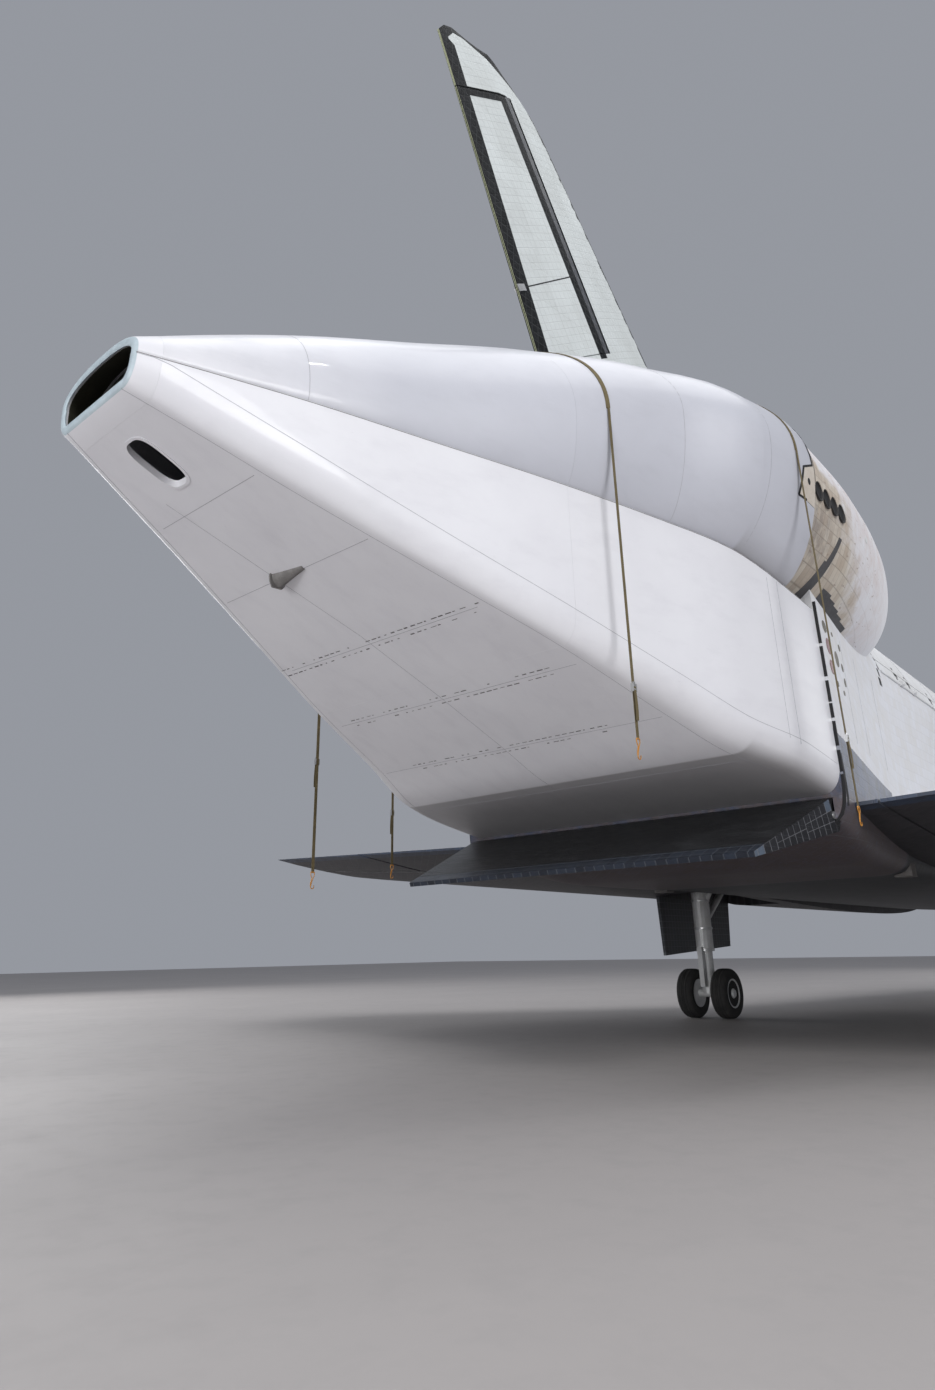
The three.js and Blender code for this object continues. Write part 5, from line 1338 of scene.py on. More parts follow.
@dataclass
class TailCone:
    """The fitted tail cone: four panels of a hollow shell, a rim, a vent, a hatch slot and their seams."""

    wall: float = 3.0
    notch_half: float = 14.0
    notch_rear: float = 1592.0
    slot: Row = (1851.0, 1874.0, 6.8)
    rim_wall: float = 3.8
    seam: float = 0.24
    hoops: Row = (1607, 1652, 1829)
    floor_rows: Rows = ((1840, 32), (1796, 48), (1746, 62), (1698, 78), (1650, 92), (1602, 106))
    dash_rows: Row = (1743.6, 1748.0, 1695.6, 1700.2, 1647.8, 1652.2)
    recess: Rows = ((1569.5, 100.3), (1568.6, 110), (1580.1, 117.2), (1584.5, 138.2), (1577, 137.5))
    vent: Row = (1796.4, -9.3)
    vent_base: Rows = ((-1, 0.28), (-0.92, 0.62), (-0.6, 0.98), (0.6, 1.06), (0.9, 0.55), (1, 0.05), (0.9, -0.4),
                       (-0.9, 0.1))

    @staticmethod
    def round_way(*counts: int) -> Array:
        """Places round a section on both sides of 0, with a number of points for each unit."""
        half = np.concatenate([np.linspace(i, i + 1, count)[1:] for i, count in enumerate(counts)])
        return np.concatenate([-half[::-1], [0], half])

    @staticmethod
    def section(x: float, inset: float) -> Array:
        """The cone's whole section at a station: from the floor's middle to the top, and back on the other side."""
        t = np.concatenate([np.linspace(0, 3, 31)[:-1], np.linspace(3, 5, 29)])
        side = np.where((t <= 3)[:, None], Skin.cone_below(x, np.where(t <= 3, t, 0), inset),
                        Skin.cone_above(x, np.where(t > 3, 5 - t, 0), inset))
        return np.concatenate([side, (side * MIRROR)[-2:0:-1]])

    def slot_outline(self, turn: Array, share: Array | float) -> tuple[Array, Array]:
        """Station and y round the hatch slot, drawn out by a share across it and by about half as much along it."""
        front, rear, half = self.slot
        x = (front + rear) / 2 + (rear - front) / 2 * (1 + (share - 1) * 0.55) * power(np.cos(turn), 0.62)
        return x, half * share * power(np.sin(turn), 0.62)

    def panel(self, name: str, surface: Surface, x0: float, x1: float, t: Array, cuts: Sequence[Form] = (),
              finish: Finish = CONE_PAINT) -> None:
        """One panel: a slab between the outer surface and the same surface a wall further in."""
        grids = mesh_grid(stations(x0, x1, 9, *CONE.rows[:, 0]), t)
        made = carved(f"{name}_panel", Form.plate(surface(*grids), surface(*grids, self.wall)), cuts)
        dress(made, finish, name, sharp=38)

    def rim(self) -> None:
        """A rim that closes the shell's end: a rounded profile carried round the section, an olive liner darkened by
        painted shade, and a near-black plate of painted shade inside the opening.
        """
        front, end, wall = RIM_FRONT_X, CONE_END_X, self.rim_wall
        profile = [(front, 0), (end - 1.2, 0), (end - 0.35, 0.25), (end, 0.9), (end, wall - 0.8),
                   (end - 0.4, wall - 0.1), (end - 1.4, wall), (front, wall)]
        grid = np.stack([self.section(*corner) for corner in profile], axis=1)
        put("cone_rim_ring", Form.ring(grid), RimPaint(), "cone_rim", sharp=50)
        liner = [self.section(*corner) for corner in rect(front - 3, wall + 0.02, end - 1.6, wall + 0.4)]
        put("cone_rim_liner", Form.ring(np.stack(liner, axis=1)), RIM_LINER_SHADED)
        # painted shade: a near-black plate inside the opening stands for the shaded hollow of the cone
        y, z = grid[:, -1, 1], grid[:, -1, 2]
        back = xyz(front - 4, y * 0.97, z.mean() + (z - z.mean()) * 0.97)
        put("cone_rear_bulkhead", Form.loft([back, back + (1, 0, 0)]), SHADE_AND_BLACK_MARKS)

    def seams(self) -> None:
        """Seams of the skin: hoops round it, lines along its creases and edges, and rows over its floor; the dark line
        along the crease is partly its joint and partly painted shade under the fairing's flare.
        """
        side, floor, seam = Skin.cone_side, Skin.cone_floor, self.seam
        hoops = [hoop(Skin.cone_above, x, -1.9, 1.9, seam, 0.05, 81) for x in self.hoops]
        x = stations(1533, CONE_END_X - 0.6, 6)
        row = CONE.smooth(x)
        # dark crease line: the panels' joint, and painted shade where the fairing flares out over the side wall
        put("cone_crease_joint", strip(side, np.stack([x, row["crease"] - 0.3], axis=-1), 0.26, 0.05).both(), SEAM_DARK,
            slot="cone_white")
        corner_z = row["bottom"] + np.minimum(14, row["crease"] - row["bottom"] - 1.5) + 0.8
        floor_y = np.minimum(row["floor"], row["side"] - 1) - 0.8
        lines = [*(strip(side, [(at, low), (at, 402)], 0.22, 0.04) for at, low in ((1586, 316), (1577, 314))),
                 strip(side, np.stack([x, corner_z], axis=-1), seam, 0.05),
                 strip(floor, np.stack([x, floor_y], axis=-1)[8:], seam, 0.05, DOWN)]
        rows = [hoop(floor, at, -half, half, seam, 0.05, 25, DOWN) for at, half in self.floor_rows]
        rows.append(strip(floor, [(1848, -17), (1752, -4), (1700, -2), (1602, -2)], seam, 0.05, DOWN))
        put("cone_seams", [*hoops, *(line.both() for line in lines), *rows], SEAM)

    def fasteners(self) -> None:
        """Rows of short dashes over the floor, some of them missing, in random lengths and widths."""
        draw = np.random.default_rng(7)
        dashes = []
        for x in self.dash_rows:
            for y in np.arange(-68, 64, 4.2):
                if draw.random() < 0.72:
                    wide, long = 0.12 + 0.22 * draw.random(), 0.8 + 2.6 * draw.random()
                    dashes.append(patch(Skin.cone_floor, rect(x - wide, y, x + wide, y + long), 0.07, DOWN))
        put("cone_fasteners", dashes, SEAM_DARK)

    def vent_scoop(self) -> None:
        """A half cone that tapers to starboard: an arch whose width and depth shrink from its base plate."""
        share, turn = mesh_grid(np.linspace(0, 1, 16), np.linspace(0, np.pi, 25))
        x, y = self.vent

        def skin(inset: float) -> Array:
            half, depth = 3.4 - 2.3 * share**0.85 - inset, 4.2 - 3.3 * share**0.8 - inset
            points = Skin.cone_floor(x + np.cos(turn) * half, y + 17.4 * share)
            return points + xyz(0, 0, 0.3 - np.sin(turn) ** 0.8 * depth)

        put("vent_scoop_shell", Form.plate(skin(0), skin(0.35)), VENT_METAL, "cone_vent")
        base = [[(x + 0.1 + 4.3 * c, at, 374.8 - 4.7 * s) for c, s in self.vent_base] for at in (y - 0.7, y + 0.1)]
        put("vent_scoop_base", Form.loft(base), VENT_METAL)

    def notch_marks(self) -> None:
        """The recess by the jets: a tiled patch on the fairing's front edge, with a black outline."""

        def fairing(x: Array, around: Array) -> Array:
            return Skin.cone_above(x, around / 110)

        black = [strip(fairing, self.recess, 1.3, 0.16, step=2),
                 strip(fairing, [(1568.4, 62), (1569.3, 100)], 0.4, 0.12),
                 disc(fairing, (1575.2, 124.5), (1.5, 2.2), 0.14)]
        tile = patch(fairing, [(1567.7, 110), (1580, 117.2), (1584, 138), (1567.7, 138)], 0.1, rows=8, columns=8)
        put("recess_outline", Form.joined(black).both(), SHADE_AND_BLACK_MARKS)
        put("recess_tiles", tile.both(), PALE_TILE)

    def build(self) -> None:
        """Makes the panels, then the rim and the fittings."""
        low, high = self.round_way(9, 9, 7), self.round_way(25, 15)
        slot = Form.loft([xyz(*self.slot_outline(whole_turn(64), 1.0), z) for z in (370.0, 425.0)])
        notch = Form.block((1550, -self.notch_half, 470), (self.notch_rear, self.notch_half, 570))
        split, end = (CONE_SPLIT_X - TOUCH_GAP, CONE_SPLIT_X + TOUCH_GAP), RIM_FRONT_X - TOUCH_GAP
        self.panel("cone_lower_front", Skin.cone_below, BASE_X + TOUCH_GAP, split[0], low)
        self.panel("cone_lower_rear", Skin.cone_below, split[1], end, low, [slot])
        self.panel("cone_upper_front", Skin.cone_above, FAIRING_FRONT_X, split[0], high, [notch], FAIRING_PAINT_AND_SHADE)
        self.panel("cone_upper_rear", Skin.cone_above, split[1], end, high, (), FAIRING_PAINT_AND_SHADE)
        self.rim()
        self.seams()
        self.fasteners()
        self.vent_scoop()
        lip = self.slot_outline(*mesh_grid(np.linspace(0, 2 * np.pi, 65), [1.0, 1.0 + 1.2 / self.slot[2]]))
        put("hatch_slot_lip", drape(Skin.cone_floor, *lip, 0.25, DOWN, 0.1), CONE_PAINT)
        self.notch_marks()


@dataclass
class Forward:
    """The forward fuselage: nose cap, thruster module, two shells, window frames and the side hatch."""

    windows: Rows = ((385, 419, 68, 87), (390, 428, 48, 64), (402, 442, 31, 44), (506, 532, 76, 87))
    well: Row = (292.0, 386.0, 26.0, 312.0)
    hatch_x: float = 507.0
    hatch_z: float = 342.0
    hatch_radius: float = 20.0
    hinge_radius: float = 1.2
    hinge_half: float = 7.0
    side_jets: Rows = ((336, 372, 4.4), (350, 372, 4.4), (346, 384, 3.2))
    top_jets: Rows = ((308, 3.6), (292, 3.0))

    def window_corners(self) -> list[Rows]:
        """Station and angle of the corners of each window."""
        return [[(x, math.radians(angle)) for x, angle in ((front, low), (front, high), (rear, high), (rear, low))]
                for front, rear, low, high in self.windows]

    def shells(self) -> None:
        """The lower and upper shells, from the hull with the cabin, well, windows and hatch cut out."""
        front, rear, half, roof = self.well
        outer = hull_form(NOSE_CAP_END + TOUCH_GAP, BAY_FRONT)
        cuts = [hull_form(CABIN_FRONT, CABIN_REAR, -CABIN_WALL),
                Form.block((NOSE_CAP_END - 20, -120, THRUSTER_FLOOR_Z - TOUCH_GAP),
                           (THRUSTER_END + TOUCH_GAP, 120, 520)), Form.block((front, -half, 200), (rear, half, roof))]
        for corners in self.window_corners():
            x, angle = np.array(corners).T
            cut = Form.loft([Skin.hull(x, angle, grow) for grow in (-1.8 * CABIN_WALL, CABIN_WALL)])
            cuts += [cut, cut.mirrored()]
        cuts.append(self.hatch_bore(self.hatch_radius + RUNNING_GAP))
        for word, low, high in (("lower", 200, PARTING_Z), ("upper", PARTING_Z + TOUCH_GAP, 560)):
            keep = Form.block((NOSE_CAP_END - 5, -130, low), (BAY_FRONT + 5, 130, high))
            dress(carved(f"forward_shell_{word}", outer, cuts, [keep]), FUSELAGE, f"forward_fuselage_{word}")
        put("forward_attach_pad", Form.block((388, -4, 270.6), (396, 4, 279)), BARE_METAL)

    def hatch_bore(self, radius: float) -> Form:
        """The round space of the side hatch, through the port wall."""
        return Form.bar((self.hatch_x, -130, self.hatch_z), (self.hatch_x, -80, self.hatch_z), radius, sides=72)

    def hatch(self) -> None:
        """The side hatch: a plug of the wall with a window, and a hinge along its foot."""
        plug = carved("side_hatch_plug", hull_form(NOSE_CAP_END + 150, BAY_FRONT),
                      [hull_form(CABIN_FRONT, CABIN_REAR, -CABIN_WALL)], [self.hatch_bore(self.hatch_radius)])
        dress(plug, FUSELAGE, "side_hatch", body="side_hatch")
        x, z, reach, half = self.hatch_x, self.hatch_z, self.hinge_radius, self.hinge_half
        foot, side = z - self.hatch_radius, Skin.hull_side
        pin_z = foot - reach - RUNNING_GAP
        pin_y = -float(side(x + half, pin_z)[1]) - reach - TOUCH_GAP
        leaf = [Form.block((x - half, pin_y - reach, pin_z), (x + half, pin_y, foot + 4 * reach)),
                Form.block((x - half, pin_y - reach, foot + 1), (x + half, pin_y + 3 * reach, foot + 4 * reach)),
                Form.bar((x - half, pin_y, pin_z), (x + half, pin_y, pin_z), reach)]
        put("side_hatch_hinge", leaf, BARE_METAL, body="side_hatch")
        rings = [disc(side, (x, z), radius, proud, hole=hole, sides=count)
                 for radius, proud, hole, count in ((19.2, 0.12, 0.965, 72), (6.4, 0.3, 0.74, 40))]
        put("side_hatch_rings", Form.joined(rings).mirrored(), BLACK_TILE, body="side_hatch")
        put("side_hatch_window", disc(side, (x, z), 4.6, 0.1, sides=40).mirrored(), Glazing(), body="side_hatch")
        lugs = [Form.block((at - 1.9, pin_y - reach, pin_z - reach), (at + 1.9, pin_y + 4 * reach, pin_z + reach))
                for at in (x - half - 2, x + half + 2)]
        put("side_hatch_lugs", lugs, BARE_METAL)

    def thrusters(self) -> None:
        """The forward thruster module and the nozzles let into it, each a ring round a sunk cup, near-black as painted
        shade in the nozzle's hollow.
        """
        keep = Form.block((NOSE_CAP_END - 5, -120, THRUSTER_FLOOR_Z), (THRUSTER_END, 120, 520))
        made = carved("thruster_module_shell", hull_form(NOSE_CAP_END + TOUCH_GAP, THRUSTER_END + 1), (), [keep])
        dress(made, FUSELAGE, "forward_thruster_module")
        # painted shade: near-black discs in the nozzles' hollows
        shade_cups = [disc(Skin.hull_side, (x, z), radius, 0.12).both() for x, z, radius in self.side_jets]
        lips = [disc(Skin.hull_side, (x, z), radius * 1.16, 0.28, hole=0.84).both() for x, z, radius in self.side_jets]
        for y in (-9.0, 0.0, 9.0):
            for x, radius in self.top_jets:
                shade_cups.append(disc(Skin.hull_above, (x, y), radius, 0.12, UP))
                lips.append(disc(Skin.hull_above, (x, y), radius * 1.18, 0.28, UP, hole=0.84))
        put("forward_jets", shade_cups, SHADE_AND_BLACK_MARKS)
        put("forward_jet_lips", lips, SOOT_METAL)

    def build(self) -> None:
        """Makes the whole nose and cabin."""
        put("nose_cap_shell", hull_form(NOSE_X, NOSE_CAP_END, 0.0, 128), Carbon(), "nose_cap", sharp=60)
        self.thrusters()
        self.shells()
        self.hatch()
        frames = [window_frame(Skin.hull, corners, 0.16, 0.18, (0, 0.5, 1)) for corners in self.window_corners()]
        put("window_frames", Form.joined(frames).both(), BLACK_TILE)


@dataclass
class PayloadBay:
    """The mid fuselage: a tub with frames and liner, and the two doors with hinges and radiators."""

    bay_radius: float = 90.0
    door_inner_radius: float = 95.0
    door_radius: float = 105.0
    axis_z: float = 400.0
    sill_z: float = 419.6
    edge_z: float = 420.5
    hinge: Row = (104.4, 421.5, 2.0)
    frame_pitch: float = 60.4

    def arc(self, radius: float) -> Surface:
        """A round surface about the bay's axis, as points from a station and an angle."""
        return lambda x, angle: xyz(x, radius * np.cos(angle), self.axis_z + radius * np.sin(angle))

    def tub(self) -> None:
        """The tub: the hull less a round bay, open above the sill."""
        radius, z, front, rear = self.bay_radius, self.axis_z, BAY_FRONT, BAY_REAR
        cuts = [Form.bar((front - 1, 0, z), (rear + 1, 0, z), radius, sides=96),
                Form.block((front - 2, -radius, z), (rear + 2, radius, 520)),
                Form.block((front - 3, -130, self.sill_z), (rear + 3, 130, 530))]
        dress(carved("mid_fuselage_tub", hull_form(front + TOUCH_GAP, rear - TOUCH_GAP), cuts), FUSELAGE,
              "mid_fuselage")
        turn = np.linspace(np.pi, 2 * np.pi, 49)
        ribs = [Form.loft(np.stack([self.arc(r)(a, turn) for a, r in rect(x - 1.6, radius + 0.4, x + 1.6, radius - 4)],
                                   axis=1)) for x in np.arange(front + 20, rear - 10, self.frame_pitch)]
        rails = [Form.block((front + 4, radius - 5, z + 12), (rear - 4, radius + 0.5, z + 17)).both(),
                 Form.block((front + 4, -4, z - radius), (rear - 4, 4, z - radius + 4))]
        put("bay_frames", [*ribs, *rails], BAY_LINER)
        grids = mesh_grid([front + 1, rear - 1], np.linspace(np.pi * 1.005, np.pi * 1.995, 61))
        put("bay_liner", drape(self.arc(radius), *grids, 0.25, UP), BAY_LINER)

    def door(self, side: Side) -> None:
        """A door: the hull's round top between two radii, its seal and knuckles, seams and radiator panels."""
        front, rear = BAY_FRONT + RUNNING_GAP, BAY_REAR - RUNNING_GAP
        rise, skin, body = self.edge_z - self.axis_z, self.arc(self.door_radius), f"bay_door_{side.word}"
        faces = [self.arc(radius)(*mesh_grid(stations(front, rear, 181), np.linspace(
            math.asin(rise / radius), math.acos(RUNNING_GAP / 2 / radius), 49)))
            for radius in (self.door_radius, self.door_inner_radius)]
        put("bay_door_skin", Form.plate(*faces), BLANKET, f"payload_{body}", side=side, body=body)
        y, z, radius = self.hinge
        at = (1255, *np.arange(1220, 600, -70.0))
        hinge = [Form.bar((front, y - 1.35, z - 0.55), (rear, y - 1.35, z - 0.55), 0.9, sides=24),
                 *(Form.bar((x - 3, y, z), (x + 3, y, z), radius, sides=24) for x in at)]
        put("bay_door_hinge", hinge, BLANKET, side=side, body=body)
        out = (0, 0.7, 0.7)
        seams = [hoop(skin, x, 0.24, 1.565, 0.5, 0.08, 41, out) for x in np.linspace(front, rear, 9)[1:-1]]
        seams += [drape(skin, *mesh_grid([front, rear], [a, a + 0.004]), 0.08, out) for a in (0.3, 1.553)]
        put("bay_door_seams", seams, STONE_TILE, side=side, body=body)
        crosses = [patch(skin, rect(x - wide, angle - tall, x + wide, angle + tall), 0.09)
                   for x in at for wide, angle, tall in ((1.9, 0.300, 0.055), (4.2, 0.285, 0.014))]
        put("bay_door_crosses", crosses, SHADE_AND_BLACK_MARKS, side=side, body=body)
        ends = np.linspace(front, rear, 5)
        panels = [drape(self.arc(self.door_inner_radius), *mesh_grid([a + 3, b - 3], np.linspace(0.30, 1.45, 25)), 0.8,
                        (0, -0.7, -0.7), 0.1) for a, b in zip(ends, ends[1:])]
        put("bay_radiators", panels, RADIATOR, side=side, body=body)

    def build(self) -> None:
        """Makes the tub and both doors."""
        self.tub()
        for side in Side:
            self.door(side)


@dataclass
class AftFuselage:
    """The aft fuselage with the hollow for the flap's hinge, its pads, caps and joint marks."""

    reach: float = 124.0
    cove_radius: float = 9.5
    pad: Row = (1317.0, 96.5, 6.0, 265.0)
    seams: Row = (1361, 1421, 1462)
    red_caps: Rows = ((1504.0, 384.6, 5.6, 4.9), (1503.6, 371.8, 5.2, 4.4))
    olive_caps: Rows = (
        (1484, 382, 5.4, 4.9), (1507, 396, 5.0, 3.6), (1468.6, 393.6, 2.9, 2.2), (1469.2, 380.4, 2.9, 2.6),
        (1468.5, 371, 2.9, 2.8), (1487, 397, 2.4, 1.4), (1478, 362, 2.4, 1.6), (1494, 364, 2.0, 1.8))
    ribs: Rows = ((280, 305), (306.5, 318), (320.5, 334), (336, 344), (345, 357), (359.5, 377), (379, 404))
    slots: Rows = ((1308, 429, 6), (1309, 421, 8), (1313, 413.5, 7), (1318, 405, 8))

    def build(self) -> None:
        """The hull with the flap's hollow cut, then what is fixed to its sides."""
        (x, z), side = FLAP_HINGE, Skin.hull_side
        cuts = [Form.bar((x, -self.reach, z), (x, self.reach, z), self.cove_radius, sides=64),
                Form.block((x, -self.reach, 200), (x + 20, self.reach, z + 9))]
        dress(carved("aft_fuselage_shell", hull_form(BAY_REAR, BASE_X), cuts), FUSELAGE, "aft_fuselage")
        x, y, half, face = self.pad
        put("aft_attach_pads", Form.block((x - half, y - half, face), (x + half, y + half, face + 9)).both(), PAD_METAL)
        for word, caps, proud, finish in (("red", self.red_caps, 0.16, RED_CAP),
                                          ("olive", self.olive_caps, 0.14, OLIVE_CAP)):
            put(f"side_caps_{word}", [disc(side, (x, z), (wide, tall), proud).both() for x, z, wide, tall in caps],
                finish)
        marks = [strip(side, [(1529.6, low), (1529.6, high)], 1.0, 1.6) for low, high in self.ribs]
        marks.append(strip(side, [(1518, 290), (1522, 318)], 4.0, 0.12))
        marks += [patch(side, rect(x, z, x + wide, z + 6.6), 0.1) for x, z, wide in self.slots]
        put("base_joint_marks", Form.joined(marks).both(), SHADE_AND_BLACK_MARKS)
        seams = [strip(side, [(x, 334), (x, 400)], 0.35, 0.08).both() for x in self.seams]
        put("aft_side_seams", seams, SEAM, slot="white_blanket")


@dataclass
class Pods:
    """The two engine pods, each with four jets let into its rear, and tiled marks."""

    jets: Rows = ((1525.2, 454.0), (1537.0, 454.0), (1548.8, 454.0), (1560.6, 454.0))
    jet_radius: float = 5.5
    bell: Rows = ((0, 0.4), (0.5, 0.66), (1, 0.98), (1, 1.07), (0.93, 1.07), (0.8, 1.02), (0.4, 0.8), (0.05, 0.55))
    foot_z: float = 406.5
    foot_tiles: Rows = ((1503, 1517.5, 415.2), (1492, 1503, 414), (1480, 1492, 413), (1468, 1480, 412),
                        (1452, 1468, 411))

    def jet(self, x: float, z: float) -> tuple[Form, Form, Form]:
        """A jet: the bore that it sits in, its flared bell, and a near-black disc of painted shade down its throat."""
        y, radius = float(Skin.pod_side(x, z)[1]), self.jet_radius
        bell = [(share, size * radius) for share, size in self.bell]
        return (Form.bar((x, y - 7, z), (x, y + 4, z), radius, sides=40),
                Form.lathe((x, y - 6.6, z), (x, y + 0.25, z), bell, 40),
                # painted shade: the near-black disc down the throat
                Form.bar((x, y - 1.6, z), (x, y - 0.6, z), 0.94 * radius, sides=40))

    def build(self) -> None:
        """Makes both pods: ellipses lofted along the table, with the jets' bores cut."""
        x = stations(1309, FAIRING_FRONT_X - TOUCH_GAP, 7, *POD.rows[:, 0])
        blank = Form.loft(Skin.pod(*mesh_grid(x, whole_turn(96))))
        bores, bells, throat_shades = zip(*(self.jet(x, z) for x, z in self.jets))
        tiles = [*(rect(a, self.foot_z, b, top) for a, b, top in self.foot_tiles),
                 [(1520.8, 440), (1525, 440), (1531.6, 424), (1526.2, 422)],
                 [(1525.4, 425), (1533.6, 425), (1541, 405), (1531, 405)]]
        marks = [patch(Skin.pod_side, corners, 0.14, rows=8, columns=4) for corners in tiles]
        marks.append(strip(Skin.pod_side, [(1565.6, 422), (1566.2, 470), (1566.2, 524)], 0.5, 0.1, step=4))
        repair = disc(Skin.pod_side, (1473, 457), (2.6, 2.2), 0.3)
        for side in Side:
            shell = carved(f"engine_pod_shell_{side.word}", blank.on(side), [bore.on(side) for bore in bores])
            dress(shell, PodSkin(), f"engine_pod_{side.word}")
            for name, forms, finish in (("pod_jets", bells, JET_METAL), ("pod_jet_throats", throat_shades, SHADE_AND_BLACK_MARKS),
                                        ("pod_dark_tiles", marks, STONE_TILE), ("pod_repair", repair, BLANKET)):
                put(name, forms, finish, side=side)


@dataclass
class Fin:
    """The fin, the two brake halves that make its rudder, and the chute housing at its foot."""

    spar_depth: float = 6.0
    end_gap: float = 0.2
    rod_radius: float = 0.87
    housing: Row = (1480.0, 1564.0, 17.0, 514.0, 528.0)
    length: float = math.dist(*RUDDER_HINGE)

    def spot(self, up: float, behind: float) -> tuple[float, float]:
        """A place in the rudder's plane: a distance up the hinge, and a distance square to it."""
        (x, z), (head_x, head_z) = RUDDER_HINGE
        along_x, along_z = (head_x - x) / self.length, (head_z - z) / self.length
        return x + up * along_x + behind * along_z, z + up * along_z - behind * along_x

    def slab(self, low: float, high: float, front: float, rear: float, y0: float, y1: float) -> Form:
        """A block in the rudder's plane between two values of y."""
        corners = [self.spot(low, front), self.spot(low, rear), self.spot(high, rear), self.spot(high, front)]
        return Form.loft([[(x, y, z) for x, z in corners] for y in (y0, y1)])

    def half_at(self, up: float) -> float:
        """Half the fin's thickness on the hinge line, between its values at the two ends."""
        ends = [float(Skin.fin(*end)[1]) for end in RUDDER_HINGE]
        return ends[0] + (ends[1] - ends[0]) * up / self.length

    def bar(self, low: float, high: float, behind: float, radius: Row, y: Row) -> Form:
        """A tapered bar beside the hinge."""
        (x0, z0), (x1, z1) = self.spot(low, behind), self.spot(high, behind)
        return Form.bar((x0, y[0], z0), (x1, y[1], z1), *radius, sides=40)

    def blank(self) -> Form:
        """The whole fin: a closed section at each height, round in front and tapered behind."""
        share = np.unique([*np.sin(np.linspace(0, np.pi / 2, 30)) ** 2.2, 0.6])
        z, s = mesh_grid(stations(492, 835.7, 30, *FIN.rows[:, 0]), share)
        row = FIN.straight(z)
        starboard = Skin.fin(row["leading"] + s * (row["trailing"] - row["leading"]), z)
        return Form.loft(np.concatenate([starboard, (starboard * MIRROR)[:, :0:-1]], axis=1))

    def build(self) -> None:
        """Cuts the fin for its rudder, and makes the halves, the tile bands and the housing."""
        blank, gap, length = self.blank(), RUNNING_GAP, self.length
        nose = self.bar(-gap, length + gap, 0, [self.half_at(-gap) + gap, self.half_at(length + gap) + gap], (0, 0))
        space = self.slab(-gap, length + gap, 0, 160, -30, 30)
        dress(carved("fin_shell", blank, [space, nose]), FinSkin(), "vertical_fin")
        low, high = self.end_gap, length - self.end_gap
        seam = strip(Skin.fin, [self.spot(60.6, 9.7), self.spot(53.6, 83)], 0.9, 0.1)
        bracket = patch(Skin.fin, [self.spot(up, behind) for behind, up in rect(78, 51.5, 86, 56.5)], 0.5)
        for side in Side:
            near, far = sorted((side.sign * gap / 2, side.sign * 30))
            body = f"speed_brake_{side.word}"
            keep = self.slab(low, high, self.spar_depth + gap + 0.25, 160, near, far)
            dress(carved(f"rudder_half_{side.word}", blank, (), [keep]), FinSkin(), body, body=body)
            at_y = [side.sign * (self.half_at(up) * 0.97 - 0.5) for up in (low, high)]
            rod = self.bar(low, high, self.spar_depth + TOUCH_GAP + self.rod_radius, [self.rod_radius] * 2, at_y)
            put(f"rudder_half_rod_{side.word}", rod, BARE_METAL, body=body)
            put("rudder_half_seam", seam, SHADE_AND_BLACK_MARKS, side=side, body=body)
            put("rudder_half_bracket", bracket, BARE_METAL, side=side, body=body)
        self.chute_housing()

    def chute_housing(self) -> None:
        """A rounded box at the fin's foot: a superellipse section that grows aft, and a door behind it."""
        front, rear, half, foot, top = self.housing
        x, turn = mesh_grid([*np.linspace(front, front + 26, 12), *np.linspace(front + 32, rear, 10)], whole_turn(48))
        grown = np.clip((x - front + 1.5) / 27, 0, 1) ** 0.5
        z = foot - 4 + power(np.sin(turn), 0.45) * (top - foot + 4) * grown
        z = np.where((x > BASE_X) & (z < foot), foot, z)
        put("chute_housing", Form.loft(xyz(x, power(np.cos(turn), 0.45) * half * grown, z)), BLANKET)


